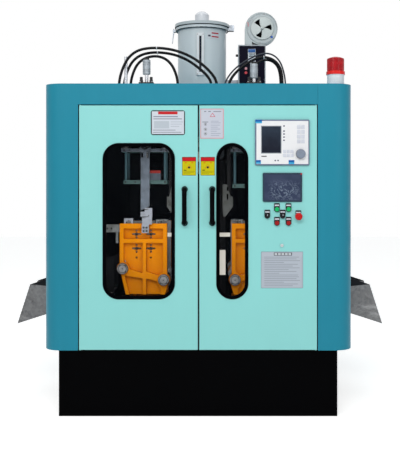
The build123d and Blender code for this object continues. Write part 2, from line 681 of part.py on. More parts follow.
def platen_pockets():
    """Recesses between the rims, the ribs and the bosses, open at the foot."""
    left = CENTRE - PLATEN_HALF_W + PLATEN_RIM
    right = CENTRE + PLATEN_HALF_W - PLATEN_RIM
    rib_left = CENTRE + RIB_SHIFT - PLATEN_RIB / 2
    rib_right = CENTRE + RIB_SHIFT + PLATEN_RIB / 2
    (ox, oz), (ix, iz) = BAR_SPOTS
    shelf = MOULD_SLOT_MID - 8
    foot = PLATEN_FOOT - 10
    outlines = [
        [(left, shelf), (rib_left, shelf), (rib_left, oz - 28), (ox + 43, oz - 5), (ox + 30, oz + 24),
         (left, oz + 40)],
        [(rib_right, shelf), (right, shelf), (right, iz + 48), (ix - 31, iz + 25), (rib_right, iz + 48)],
        [(ox + 10, oz - 41), (rib_left, oz - 58), (rib_left, foot), (ox + 41, foot)],
        [(rib_right, iz + 8), (ix - 40, iz - 9), (ix - 30, iz - 34), (ix - 17, iz - 54), (ix - 18, foot),
         (rib_right, foot)]]
    sheets = [Polygon(*outline, align=None) for outline in outlines]
    pockets = [fillet(sheet.vertices(), POCKET_R) for sheet in sheets]
    pockets.append(rounded_slot((left, right), (MOULD_SLOT_MID + 15, PLATEN_TOP - 29), POCKET_R))
    return pockets


def platen(y, ribbed_face):
    """Cast platen: ribbed on one face, flat with mould slots through it, bored for the bars."""
    plate = upright(platen_outline(), y)
    if ribbed_face < 0:
        pocket_y = (y[0] - 1, y[0] + POCKET_D)
    else:
        pocket_y = (y[1] - POCKET_D, y[1] + 1)
    for pocket in platen_pockets():
        plate -= upright(pocket, pocket_y)
    through = (y[0] - 1, y[1] + 1)
    for x, z in BAR_SPOTS:
        plate -= rod_y(x, z, through, BAR_R + RUNNING)
    for slot_x in (CENTRE - MOULD_SLOT_X / 2, CENTRE + MOULD_SLOT_X / 2):
        for slot_z in (MOULD_SLOT_MID - MOULD_SLOT_Z / 2, MOULD_SLOT_MID + MOULD_SLOT_Z / 2):
            slot = Pos(slot_x, slot_z) * SlotOverall(MOULD_SLOT_L, 2 * MOULD_SLOT_R)
            plate -= upright(slot, through)
            for offset in (-PIN_HOLE_Z, PIN_HOLE_Z):
                plate -= rod_y(slot_x, slot_z + offset, through, PIN_HOLE_R)
        plate -= rod_y(slot_x, MOULD_SLOT_MID - 96, through, PIN_HOLE_R)
    return plate


FOOT_OUTER = 103.0
FOOT_INNER = 126.0
PLATEN_RIB = 20.0
RIB_SHIFT = 6.0
POCKET_R = 6.0
PIN_HOLE_R = 6.0
PIN_HOLE_Z = 20.0
MOULD_SLOT_X = 84.0
MOULD_SLOT_Z = 84.0
MOULD_SLOT_MID = PLATEN_TOP - 105.0
MOULD_SLOT_L = 54.0
MOULD_SLOT_R = 5.0
FRONT_PLATEN_Y = depth(PLATEN_DEPTH, PLATEN_DEPTH + PLATEN_T)
MIDDLE_PLATEN_Y = (FRONT_PLATEN_Y[1] + DAYLIGHT, FRONT_PLATEN_Y[1] + DAYLIGHT + PLATEN_T)
YOKE_Y = depth(YOKE_DEPTH, YOKE_DEPTH + YOKE_T)
CYLINDER_Y = depth(CYLINDER_DEPTH, YOKE_DEPTH)


def front_platen():
    """Outer platen with a small arch on its top edge."""
    arch_x = (CENTRE - 113, CENTRE - 60)
    arch_y = (FRONT_PLATEN_Y[0] + 4, FRONT_PLATEN_Y[0] + 34)
    arch = block(arch_x, arch_y, (PLATEN_TOP - 1, PLATEN_TOP + 30))
    arch -= rod_y(sum(arch_x) / 2, PLATEN_TOP + 2, (arch_y[0] - 1, arch_y[1] + 1), 16)
    return platen(FRONT_PLATEN_Y, -1) + arch


def striker_arm():
    """Bent steel arm on the outer edge of the front platen, which trips the limit switch."""
    edge = CENTRE - PLATEN_HALF_W
    arm_y = depth(PLATEN_DEPTH + 22, PLATEN_DEPTH + 34)
    arm = block((edge - 88, edge), arm_y, (PLATEN_TOP - 52, PLATEN_TOP - 7))
    leg = block((edge - 25, edge - 11), arm_y, (PLATEN_TOP - 115, PLATEN_TOP - 51))
    for x in (edge - 74, edge - 50):
        arm -= rod_y(x, PLATEN_TOP - 30, (arm_y[0] - 1, arm_y[1] + 1), 4)
    return arm + leg


def water_elbows():
    """Two pipe elbows that stand on the top edge of the front platen."""
    elbows = []
    for x, y in ((CENTRE + 78, FRONT_PLATEN_Y[0] + 13), (CENTRE + 108, FRONT_PLATEN_Y[0] + 32)):
        elbow = rod_z(x, y, (PLATEN_TOP, PLATEN_TOP + 24), 7)
        elbow += rod_z(x, y, (PLATEN_TOP, PLATEN_TOP + 7), 9)
        elbow += rod_x(y, PLATEN_TOP + 18, (x, x + 34), 5.5)
        elbow += rod_x(y, PLATEN_TOP + 18, (x + 12, x + 18), 8)
        elbows.append(elbow)
    return elbows


def tie_bars():
    """Two bars with round nuts, the yoke behind and the clamp cylinder on the yoke."""
    pieces = []
    for x, z in BAR_SPOTS:
        bar = rod_y(x, z, (FRONT_PLATEN_Y[0] - BAR_NUT_H - 5, YOKE_Y[1] + 28), BAR_R)
        bar = fillet(bar.faces().sort_by(Axis.Y)[0].edges(), 2.0)
        nut = rod_y(x, z, (FRONT_PLATEN_Y[0] - BAR_NUT_H, FRONT_PLATEN_Y[0]), BAR_NUT_R)
        nut = fillet(nut.faces().sort_by(Axis.Y)[0].edges(), 2.5)
        rear_nut = rod_y(x, z, (YOKE_Y[1], YOKE_Y[1] + BAR_NUT_H), BAR_NUT_R)
        pieces.append(fused([bar, nut, rear_nut]))
    circles = [Pos(x, z) * Circle(BOSS_R) for x, z in BAR_SPOTS]
    circles.append(Pos(CENTRE, CLAMP_AXIS_Z) * Circle(CYLINDER_R + 5))
    yoke = upright(make_hull([edge for circle in circles for edge in circle.edges()]), YOKE_Y)
    for x, z in BAR_SPOTS:
        yoke -= rod_y(x, z, (YOKE_Y[0] - 1, YOKE_Y[1] + 1), BAR_R + RUNNING)
    barrel = rod_y(CENTRE, CLAMP_AXIS_Z, CYLINDER_Y, CYLINDER_R)
    barrel -= rod_y(CENTRE, CLAMP_AXIS_Z, (CYLINDER_Y[0] + 12, CYLINDER_Y[1] - 12), CYLINDER_BORE_R + RUNNING)
    barrel -= rod_y(CENTRE, CLAMP_AXIS_Z, (CYLINDER_Y[0] - 1, CYLINDER_Y[0] + 13), CLAMP_ROD_R + RUNNING)
    return pieces + [yoke, barrel, striker_arm()] + water_elbows()


def hook_block():
    """Steel hook bolted to the top of the front platen, under the lock bar of the station."""
    outline = [(-8, -54), (34, -54), (34, -4), (52, -4), (52, 36), (53.5, 36), (53.5, 91),
               (9.5, 91), (9.5, 69.5), (-15, 69.5), (-15, 40), (9.5, 40), (9.5, 36),
               (-6, 36), (-6, -4), (-8, -4)]
    sheet = Polygon(*[(CENTRE + x, PLATEN_TOP + z) for x, z in outline], align=None)
    block_y = (FRONT_PLATEN_Y[0] - 20, FRONT_PLATEN_Y[0])
    hook = upright(sheet, block_y)
    for x in (3.5, 20.5):
        for z in (PLATEN_TOP - 42, PLATEN_TOP - 23):
            hook -= rod_y(CENTRE + x, z, (block_y[0] - 1, block_y[0] + 6), 5.5)
    return hook


def middle_platen():
    """Moving platen with the rod and piston of the clamp cylinder."""
    plate = platen(MIDDLE_PLATEN_Y, 1)
    rod = rod_y(CENTRE, CLAMP_AXIS_Z, (MIDDLE_PLATEN_Y[1] - POCKET_D - 2, CYLINDER_Y[1] - 20), CLAMP_ROD_R)
    piston = rod_y(CENTRE, CLAMP_AXIS_Z, (CYLINDER_Y[1] - 45, CYLINDER_Y[1] - 20), CYLINDER_BORE_R)
    return fused([plate, rod, piston])


def carriage():
    """Shuttle carriage: saddle on four rail blocks, bush plate, bushes and side gussets."""
    saddle_y = depth(635, 905)
    saddle = block((CENTRE - 130, CENTRE + 130), saddle_y, (SADDLE_TOP - 30, SADDLE_TOP))
    plate_y = depth(BUSH_PLATE_DEPTH, BUSH_PLATE_DEPTH + BUSH_PLATE_T)
    plate_top = OUTER_SPOT[1] + 97
    sheet = Polygon((CENTRE - 110, SADDLE_TOP - 5), (CENTRE + 110, SADDLE_TOP - 5),
                    (CENTRE + 120, plate_top), (CENTRE - 120, plate_top), align=None)
    for x, z in BAR_SPOTS:
        sheet += Pos(x, z) * Circle(BOSS_R)
    pieces = [saddle, upright(sheet, plate_y)]
    bush_y = depth(BUSH_PLATE_DEPTH - 50, BUSH_PLATE_DEPTH - 50 + BUSH_L)
    for x, z in BAR_SPOTS:
        pieces.append(rod_y(x, z, bush_y, BOSS_R - 2))
    for x in (CENTRE - 100, CENTRE + 92):
        rib = Polygon((saddle_y[0] + 15, SADDLE_TOP - 5), (plate_y[0] + 5, SADDLE_TOP - 5),
                      (plate_y[0] + 5, SADDLE_TOP + 140), align=None)
        pieces.append(extrude(Plane.YZ.offset(x) * rib, amount=8, dir=(1, 0, 0)))
    for rail_depth in RAIL_DEPTHS:
        rail_y = FRONT + rail_depth
        for x in (CENTRE - 85, CENTRE + 85):
            slider = block((x - 40, x + 40), (rail_y - 32, rail_y + 32), (BED_TOP + 4, SADDLE_TOP - 29))
            half = RAIL_SIZE / 2 + RUNNING
            slot_z = (BED_TOP + 3, BED_TOP + RAIL_SIZE + RUNNING)
            pieces.append(slider - block((x - 41, x + 41), (rail_y - half, rail_y + half), slot_z))
    whole = fused(pieces)
    for x, z in BAR_SPOTS:
        whole -= rod_y(x, z, (bush_y[0] - 1, bush_y[1] + 1), BAR_R + RUNNING)
    return whole - rod_y(CENTRE, CLAMP_AXIS_Z, (plate_y[0] - 1, plate_y[1] + 1), CLAMP_ROD_R + 5)


def make_clamps():
    keep_pair("front_platen", front_platen(), hook_block())
    keep_pair("tie_bars", *tie_bars())
    keep_pair("middle_platen", middle_platen())
    keep_pair("carriage", carriage())
    rails = []
    for rail_depth in RAIL_DEPTHS:
        y = FRONT + rail_depth
        rails.append(block((-510, 510), (y - 35, y + 35), (DECK_TOP, BED_TOP)))
        rail_y = (y - RAIL_SIZE / 2, y + RAIL_SIZE / 2)
        rails.append(block((-505, 505), rail_y, (BED_TOP, BED_TOP + RAIL_SIZE)))
    keep("carriage_rails", *rails)


# Blow stations

def blow_frame():
    """Fixed top beam with its hangers, cylinder, hose fittings, lock bar and slotted bracket."""
    beam_x = (CENTRE - BEAM_HALF_W, CENTRE + BEAM_HALF_W)
    beam_y = (BLOW_Y - BEAM_D / 2, BLOW_Y + BEAM_D / 2)
    beam = block(beam_x, beam_y, (BEAM_TOP - BEAM_T, BEAM_TOP))
    for x in (CENTRE - GUIDE_X, CENTRE + GUIDE_X):
        for y in (BLOW_Y - GUIDE_Y, BLOW_Y + GUIDE_Y):
            beam -= rod_z(x, y, (BEAM_TOP - BEAM_T - 1, BEAM_TOP + 1), GUIDE_R + RUNNING)
    beam -= rod_z(CENTRE, BLOW_Y, (BEAM_TOP - BEAM_T - 1, BEAM_TOP + 1), BLOW_ROD_R + RUNNING)
    rail_foot = ROOF_TOP - SKIN_T - TUBE
    hanger_z = (BEAM_TOP, rail_foot)
    hangers = [block((x, x + 10), beam_y, hanger_z) for x in (beam_x[0], beam_x[1] - 10)]
    barrel = rod_z(CENTRE, BLOW_Y, (BEAM_TOP, BLOW_CYL_TOP), BLOW_CYL_R)
    cap = block((CENTRE - 45, CENTRE + 45), (BLOW_Y - 45, BLOW_Y + 45), (BLOW_CYL_TOP - 28, BLOW_CYL_TOP))
    cap = fillet(cap.edges().filter_by(Axis.Z), 6)
    barrel += cap
    barrel -= rod_z(CENTRE, BLOW_Y, (BEAM_TOP + 12, BLOW_CYL_TOP - 28), BLOW_BORE_R + RUNNING)
    barrel -= rod_z(CENTRE, BLOW_Y, (BEAM_TOP - 1, BLOW_CYL_TOP + 1), BLOW_ROD_R + RUNNING)
    fittings = []
    for x in (CENTRE - FITTING_X, CENTRE + FITTING_X):
        hexagon = Pos(x, BLOW_Y - FITTING_Y) * RegularPolygon(11, 6)
        fittings.append(flat(hexagon, (BLOW_CYL_TOP, BLOW_CYL_TOP + 14)))
        fittings.append(rod_z(x, BLOW_Y - FITTING_Y, (BLOW_CYL_TOP + 14, FITTING_TOP), 9))
    return [beam, barrel, lock_bar(), slotted_bracket()] + hangers + fittings


FITTING_X = 30.0
FITTING_Y = 24.0
FITTING_TOP = BLOW_CYL_TOP + 33.0


def lock_bar():
    """Hanging flat bar with two ears and two slots at its head and an angled foot."""
    beam_front = BLOW_Y - BEAM_D / 2
    ear_z = (BEAM_TOP - 15, BEAM_TOP + 9)
    notch_z = BEAM_TOP - 8
    foot_z = (PLATEN_TOP + 73, PLATEN_TOP + 99)
    outline = [(-32, ear_z[0]), (-26, ear_z[0]), (-26, foot_z[0]), (27, foot_z[1]), (27, ear_z[0]),
               (34, ear_z[0]), (34, ear_z[1]), (5, ear_z[1]), (5, notch_z), (-6, notch_z),
               (-6, ear_z[1]), (-32, ear_z[1])]
    sheet = Polygon(*[(CENTRE + x, z) for x, z in outline], align=None)
    for x in (-17, 15.5):
        sheet -= Pos(CENTRE + x, BEAM_TOP - 39) * Rectangle(12, 30)
    return upright(sheet, (beam_front - 14, beam_front))


def slotted_bracket():
    """Slotted plate beside the die with a pointed foot, on a strap from the beam end."""
    beam_end = STATION_X - BEAM_HALF_W
    beam_front = BLOW_Y - BEAM_D / 2
    outline = [(0, 0), (0, -288), (13, -288), (13, -348), (-33, -409), (-44, -402),
               (-48, -338), (-48, -215), (-22, -215), (-22, 0)]
    sheet = Polygon(*[(-beam_end - x, BEAM_TOP + z) for x, z in outline], align=None)
    slot_x = (13 - beam_end, 24 - beam_end)
    for low, high in ((-255, -226), (-308, -270)):
        sheet -= rounded_slot(slot_x, (BEAM_TOP + low, BEAM_TOP + high), 5.4)
    return upright(sheet, (beam_front, beam_front + 8))


def blow_slide(side, drop):
    """Sliding beam with four guide rods, blow pin, through rod, piston and stop sleeve."""
    centre = side * STATION_X
    top = SLIDE_TOP - drop
    under = top - SLIDE_T
    reach = BEAM_D / 2 - 4
    beam_x = (centre - SLIDE_HALF_W, centre + SLIDE_HALF_W)
    beam = block(beam_x, (BLOW_Y - reach, BLOW_Y + reach), (under, top))
    rods = []
    for x in (centre - GUIDE_X, centre + GUIDE_X):
        for y in (BLOW_Y - GUIDE_Y, BLOW_Y + GUIDE_Y):
            rods.append(rod_z(x, y, (top, GUIDE_TOP - drop), GUIDE_R))
    pin = rod_z(centre, BLOW_Y, (under - 130, under), BLOW_PIN_R)
    pin += rod_z(centre, BLOW_Y, (under - 25, under), BLOW_PIN_R + 12)
    tip = Pos(centre, BLOW_Y, under - 150) * Cone(8, BLOW_PIN_R, 40)
    rod = rod_z(centre, BLOW_Y, (top, SLEEVE_Z[1] + 8 - drop), BLOW_ROD_R)
    rod += rod_z(centre, BLOW_Y, (BEAM_TOP + 87 - drop, BEAM_TOP + 117 - drop), BLOW_BORE_R)
    sleeve = rod_z(centre, BLOW_Y, (SLEEVE_Z[0] - drop, SLEEVE_Z[1] - drop), SLEEVE_R)
    sleeve = fillet(sleeve.edges().filter_by(GeomType.CIRCLE), 1.5)
    sleeve -= rod_z(centre, BLOW_Y, (SLEEVE_Z[0] - drop - 1, SLEEVE_Z[1] - drop + 1), BLOW_ROD_R + RUNNING)
    cap = rod_z(centre, BLOW_Y, (SLEEVE_Z[1] - drop, SLEEVE_Z[1] + 13 - drop), 16)
    cap = fillet(cap.faces().sort_by(Axis.Z)[-1].edges(), 3)
    cap -= rod_z(centre, BLOW_Y, (SLEEVE_Z[1] - drop - 1, SLEEVE_Z[1] + 8 - drop), BLOW_ROD_R + RUNNING)
    valve_x = (centre + VALVE_X[0], centre + VALVE_X[1])
    valve_y = (BLOW_Y - reach + 2, BLOW_Y - reach + 44)
    valve = block(valve_x, valve_y, (top, top + VALVE_H - VALVE_CAP_H))
    valve += block((valve_x[0] + 1, valve_x[1] - 1), (valve_y[0] + 1, valve_y[1] - 1),
                   (top + VALVE_H - VALVE_CAP_H - 1, top + VALVE_H))
    for x in (valve_x[0] + 14, valve_x[1] - 14):
        valve += rod_y(x, top + 20, (valve_y[0] - 3, valve_y[0] + 1), 6)
    return [beam, pin + tip, rod, sleeve, cap, valve] + rods


VALVE_X = (24.0, 92.0)
VALVE_H = 58.0
VALVE_CAP_H = 17.0


def make_blow_stations():
    keep("blow_frames", *both_hands(blow_frame()))
    keep("left_blow_slide", *blow_slide(-1, 0))
    keep("right_blow_slide", *blow_slide(1, RIGHT_SLIDE_DROP))


# Extruder

def make_extruder():
    front_y = FRONT + BARREL_FRONT
    gear_y = FRONT + GEARBOX_FRONT
    tube = rod_y(0, SCREW_Z, (front_y, gear_y), BARREL_OUT_R)
    flange = rod_y(0, SCREW_Z, (front_y, front_y + 18), BARREL_OUT_R + 18)
    feed = rod_y(0, SCREW_Z, (HOPPER_Y - 70, HOPPER_Y + 70), BARREL_OUT_R + 18)
    throat = block((-55, 55), (HOPPER_Y - 55, HOPPER_Y + 55), (SCREW_Z, THROAT_Z - 12))
    pad = block((-75, 75), (HOPPER_Y - 75, HOPPER_Y + 75), (THROAT_Z - 12, THROAT_Z))
    rear = rod_y(0, SCREW_Z, (gear_y - 20, gear_y), BARREL_OUT_R + 28)
    barrel = fused([tube, flange, feed, throat, pad, rear])
    barrel -= rod_y(0, SCREW_Z, (front_y - 1, gear_y + 1), BARREL_BORE_R)
    barrel -= rod_z(0, HOPPER_Y, (SCREW_Z, THROAT_Z + 1), NECK_R - HOPPER_T - 12)
    keep("extruder_barrel", barrel)

    bands = []
    for setback in (35.0, 100.0, 210.0, 275.0):
        band_y = (front_y + setback, front_y + setback + 50)
        band = rod_y(0, SCREW_Z, band_y, BARREL_OUT_R + 10)
        band -= rod_y(0, SCREW_Z, (band_y[0] - 1, band_y[1] + 1), BARREL_OUT_R + SEAT_GAP)
        cover_z = (SCREW_Z + BARREL_OUT_R + 8, SCREW_Z + BARREL_OUT_R + 26)
        band += block((-16, 16), (band_y[0] + 8, band_y[1] - 8), cover_z)
        bands.append(band)
    for band_z in (DIE_Z[0] + 25, DIE_Z[0] + 115):
        band = rod_z(0, BLOW_Y, (band_z, band_z + 60), DIE_R + 9)
        bands.append(band - rod_z(0, BLOW_Y, (band_z - 1, band_z + 61), DIE_R + SEAT_GAP))
    keep("heater_bands", *bands)

    head = rod_z(0, BLOW_Y, DIE_Z, DIE_R)
    head += rod_z(0, BLOW_Y, (DIE_Z[0] - 45, DIE_Z[0]), DIE_R - 24)
    head += rod_y(0, SCREW_Z, (BLOW_Y + 40, front_y), 46)
    head += rod_y(0, SCREW_Z, (front_y - 18, front_y), BARREL_OUT_R + 18)
    head -= rod_z(0, BLOW_Y, (DIE_Z[0] - 46, DIE_Z[1] + 1), MANDREL_R + RUNNING)
    head -= rod_z(0, BLOW_Y, (DIE_Z[0] - 46, DIE_Z[0]), MANDREL_R + 4)
    head -= rod_y(0, SCREW_Z, (BLOW_Y, front_y + 1), 12)
    mandrel = rod_z(0, BLOW_Y, (DIE_Z[0] - 45, DIE_Z[1]), MANDREL_R)
    mandrel += rod_z(0, BLOW_Y, (DIE_Z[1], DIE_Z[1] + 14), MANDREL_R + 16)
    keep("die_head", head, mandrel)

    gear_x = (-150, 150)
    gearbox = block(gear_x, (gear_y, gear_y + 300), GEARBOX_Z)
    gearbox = fillet(gearbox.edges().filter_by(Axis.Y), 30)
    gearbox -= rod_y(0, SCREW_Z, (gear_y - 1, gear_y + 120), SHANK_R + RUNNING)
    motor_y = (gear_y + 300, gear_y + 640)
    motor = rod_y(0, MOTOR_Z, motor_y, 112)
    for step in range(24):
        fin = block((-2.5, 2.5), (motor_y[0] + 40, motor_y[1] - 70), (105, 128))
        motor += Pos(0, 0, MOTOR_Z) * Rot(0, step * 15, 0) * fin
    motor += rod_y(0, MOTOR_Z, (motor_y[1] - 62, motor_y[1]), 128)
    terminal = block((-55, 55), (motor_y[0] + 110, motor_y[0] + 220), (MOTOR_Z + 100, MOTOR_Z + 172))
    keep("drive_unit", gearbox, motor + terminal)

    core_y = (front_y + 2, gear_y - 22)
    screw = rod_y(0, SCREW_Z, (core_y[0] + 30, gear_y + 118), SHANK_R)
    nose = Pos(0, core_y[0] + 15, SCREW_Z) * Rot(90, 0, 0) * Cone(SHANK_R, 4, 30)
    screw += nose
    keep("extruder_screw", screw_flights(screw, core_y))


MANDREL_R = 24.0
SHANK_R = 20.0
MOTOR_Z = 1585.0
SCREW_PITCH = 55.0
FLIGHT_T = 6.0


def screw_flights(core, y):
    """Helical flight wound on the core along the barrel bore."""
    turns = int((y[1] - y[0] - 40) / SCREW_PITCH)
    start = y[0] + 34
    spine = Pos(0, start, SCREW_Z) * Rot(-90, 0, 0) * Helix(SCREW_PITCH, SCREW_PITCH * turns, SHANK_R)
    tangent = Plane(origin=spine @ 0, x_dir=(1, 0, 0), z_dir=spine % 0)
    web = tangent * Pos((SCREW_R - SHANK_R) / 2 - 0.5, 0) * Rectangle(SCREW_R - SHANK_R + 1, FLIGHT_T)
    flight = sweep(web, path=spine, is_frenet=True)
    limit = rod_y(0, SCREW_Z, (y[0], y[1] + 2), SCREW_R)
    return core + (flight & limit)


# Hopper dryer

def revolved(points, x, y):
    """Body of revolution about an upright axis, from points of radius and height."""
    profile = Plane.XZ * Polygon(*points, align=None)
    return Pos(x, y, 0) * revolve(profile, Axis.Z)


def make_hopper():
    inner = HOPPER_R - HOPPER_T
    neck_in = NECK_R - HOPPER_T
    wall = [(NECK_R, THROAT_Z), (NECK_R, NECK_Z), (HOPPER_R, CONE_TOP), (HOPPER_R, RING_Z),
            (HOPPER_RING_R, RING_Z), (HOPPER_RING_R, LID_Z - HOPPER_T - SEAT_GAP),
            (inner, LID_Z - HOPPER_T - SEAT_GAP), (inner, CONE_TOP + 1), (neck_in, NECK_Z + 1),
            (neck_in, THROAT_Z)]
    body = revolved(wall, 0, HOPPER_Y)
    gate_z = (THROAT_Z + 6, THROAT_Z + 14)
    housing = block((-75, 75), (HOPPER_Y - 75, HOPPER_Y + 75), (THROAT_Z, THROAT_Z + 20))
    body += housing - rod_z(0, HOPPER_Y, (THROAT_Z - 1, THROAT_Z + 21), neck_in)
    body -= block((-65, 76), (HOPPER_Y - 62, HOPPER_Y + 62), gate_z)
    slot_x = (SIGHT_X - SIGHT_SLOT / 2, SIGHT_X + SIGHT_SLOT / 2)
    body -= block(slot_x, (HOPPER_Y - HOPPER_R - 5, HOPPER_Y - HOPPER_R + 20), SIGHT_SLOT_Z)

    px, pz = LID_PIVOT
    for hand in (-1, 1):
        ear_y = sorted((HOPPER_Y + hand * 16, HOPPER_Y + hand * 24))
        ear = Polygon((HOPPER_R + 6, RING_Z + 2), (px + 11, RING_Z + 2), (px + 11, pz + 8), (px - 19, pz + 8),
                      (px - 19, RING_Z + 20), (HOPPER_R + 6, RING_Z + 20), align=None)
        body += upright(ear, ear_y)
    body += rod_y(px, pz, (HOPPER_Y - 24, HOPPER_Y + 24), LID_PIN_R)
    latch_x, latch_z = LATCH_PIVOT
    clip_z = (latch_z - 12, latch_z + 6)
    for hand in (-1, 1):
        clip_y = sorted((HOPPER_Y + hand * 11, HOPPER_Y + hand * 14))
        body += block((latch_x - 5, -HOPPER_R + 10), clip_y, clip_z)
    body += rod_y(latch_x, latch_z, (HOPPER_Y - 14, HOPPER_Y + 14), LATCH_PIN_R)
    outlet_x = (HOPPER_R - 8, BOX_X[0] - SEAT_GAP)
    body += rod_x(HOPPER_Y, DUCT_Z, outlet_x, DUCT_R)
    body -= rod_x(HOPPER_Y, DUCT_Z, (HOPPER_R - 20, BOX_X[0]), DUCT_R - 3)
    strut_y = (HOPPER_Y + DUCT_R + 6, HOPPER_Y + DUCT_R + 14)
    body += block(outlet_x, strut_y, (BOX_Z[0] + 20, BOX_Z[0] + 110))
    limits = (-2 * HOPPER_R, 2 * HOPPER_R)
    drum = body & block((-2 * HOPPER_R, 2 * BLOWER_X), limits, (CONE_TOP, VENT_TOP))
    funnel = body & block(limits, limits, (THROAT_Z - 1, CONE_TOP))
    keep("hopper_body", drum, funnel)

    gate = block((GATE_OPEN_X, GATE_OPEN_X + 156), (HOPPER_Y - 60, HOPPER_Y + 60),
                 (gate_z[0] + SEAT_GAP, gate_z[1] - SEAT_GAP))
    grip_x = (GATE_OPEN_X + 150, GATE_OPEN_X + 160)
    grip = block(grip_x, (HOPPER_Y - 40, HOPPER_Y + 40), (gate_z[0] - 5, gate_z[1] + 5))
    keep("slide_gate", gate + grip)

    skirt_z = LID_Z - 19
    lid = rod_z(0, HOPPER_Y, (skirt_z, LID_Z), LID_R)
    lid -= rod_z(0, HOPPER_Y, (skirt_z - 1, LID_Z - HOPPER_T), LID_R - HOPPER_T)
    lid += block((LID_R - 5, px + 9), (HOPPER_Y - 15, HOPPER_Y + 15), (skirt_z + 1, LID_Z - 0.5))
    lid -= rod_z(0, HOPPER_Y, (skirt_z - 1, LID_Z - HOPPER_T), LID_R - HOPPER_T)
    lid -= rod_y(px, pz, (HOPPER_Y - 20, HOPPER_Y + 20), LID_PIN_R + RUNNING)
    keep("hopper_lid", lid, vent_cap())

    lever_x = latch_x
    lever = Polygon((lever_x - 2, latch_z + 12), (lever_x + 2, latch_z + 12), (lever_x + 3, latch_z - 20),
                    (lever_x - 7, latch_z - 86), (lever_x - 11, latch_z - 86), (lever_x - 5, latch_z - 20),
                    align=None)
    latch = upright(lever, (HOPPER_Y - 10, HOPPER_Y + 10))
    latch += rod_y(lever_x, latch_z, (HOPPER_Y - 10, HOPPER_Y + 10), LATCH_PIN_R + 3)
    keep("lid_latch", latch - rod_y(lever_x, latch_z, (HOPPER_Y - 11, HOPPER_Y + 11), LATCH_PIN_R + RUNNING))

    frame_y = (HOPPER_Y - HOPPER_R - 9, HOPPER_Y - HOPPER_R + 6)
    frame = block((SIGHT_X - 24.5, SIGHT_X + 24.5), frame_y, SIGHT_Z)
    frame = fillet(frame.faces().sort_by(Axis.Y)[0].edges(), 2)
    frame -= rod_z(0, HOPPER_Y, (SIGHT_Z[0] - 1, SIGHT_Z[1] + 1), HOPPER_R + SEAT_GAP)
    frame -= block(slot_x, (HOPPER_Y - HOPPER_R - 10, HOPPER_Y - HOPPER_R + 10), SIGHT_SLOT_Z)
    glass_x = (slot_x[0] + SEAT_GAP, slot_x[1] - SEAT_GAP)
    glass_z = (SIGHT_SLOT_Z[0] + SEAT_GAP, SIGHT_SLOT_Z[1] - SEAT_GAP)
    glass = block(glass_x, (HOPPER_Y - HOPPER_R - 6, HOPPER_Y - HOPPER_R), glass_z)
    keep("sight_glass", frame, glass)


LID_PIN_R = 4.0
LATCH_PIVOT = (-189.0, 2302.0)
LATCH_PIN_R = 2.5
SIGHT_X = -7.0
SIGHT_SLOT = 15.0
SIGHT_Z = (1980.0, 2258.0)
SIGHT_SLOT_Z = (2004.0, 2238.0)
DUCT_Z = 1930.0
DUCT_R = 26.0
GATE_OPEN_X = 54.0
PETAL_R = 62.0


def vent_cap():
    """Drum with a domed top on the middle of the lid."""
    dome = VENT_TOP - 24
    drum = rod_z(0, HOPPER_Y, (LID_Z, VENT_TOP), VENT_R)
    return drum & Pos(0, HOPPER_Y, dome - VENT_R * 0.65) * Sphere(VENT_TOP - dome + VENT_R * 0.65)


def petal(turn):
    """Swept fan-shaped opening of the air damper."""
    def spot(radius, angle):
        a = math.radians(angle + turn)
        return (BLOWER_X + radius * math.cos(a), BLOWER_Z + radius * math.sin(a))
    lead = ThreePointArc(spot(9, 4), spot(36, -8), spot(PETAL_R, -19))
    rim = ThreePointArc(spot(PETAL_R, -19), spot(PETAL_R, 0), spot(PETAL_R, 19))
    trail = ThreePointArc(spot(PETAL_R, 19), spot(38, 20), spot(9, 4))
    return make_face(Curve() + [lead, rim, trail])


PETAL_TURNS = (5.0, 125.0, 245.0)


def scroll_outline(inset):
    """Blower scroll with its downward outlet on the left."""
    grown = SCROLL_R + SCROLL_GROWTH - inset
    shape = Pos(BLOWER_X, BLOWER_Z) * Circle(SCROLL_R - inset)
    shape += Pos(BLOWER_X - SCROLL_GROWTH, BLOWER_Z) * Circle(grown)
    outlet = ((OUTLET_X[0] + inset, OUTLET_X[1] - inset), (BOX_Z[1] + SEAT_GAP, BLOWER_Z))
    return shape + Pos(sum(outlet[0]) / 2, sum(outlet[1]) / 2) * Rectangle(
        outlet[0][1] - outlet[0][0], outlet[1][1] - outlet[1][0])


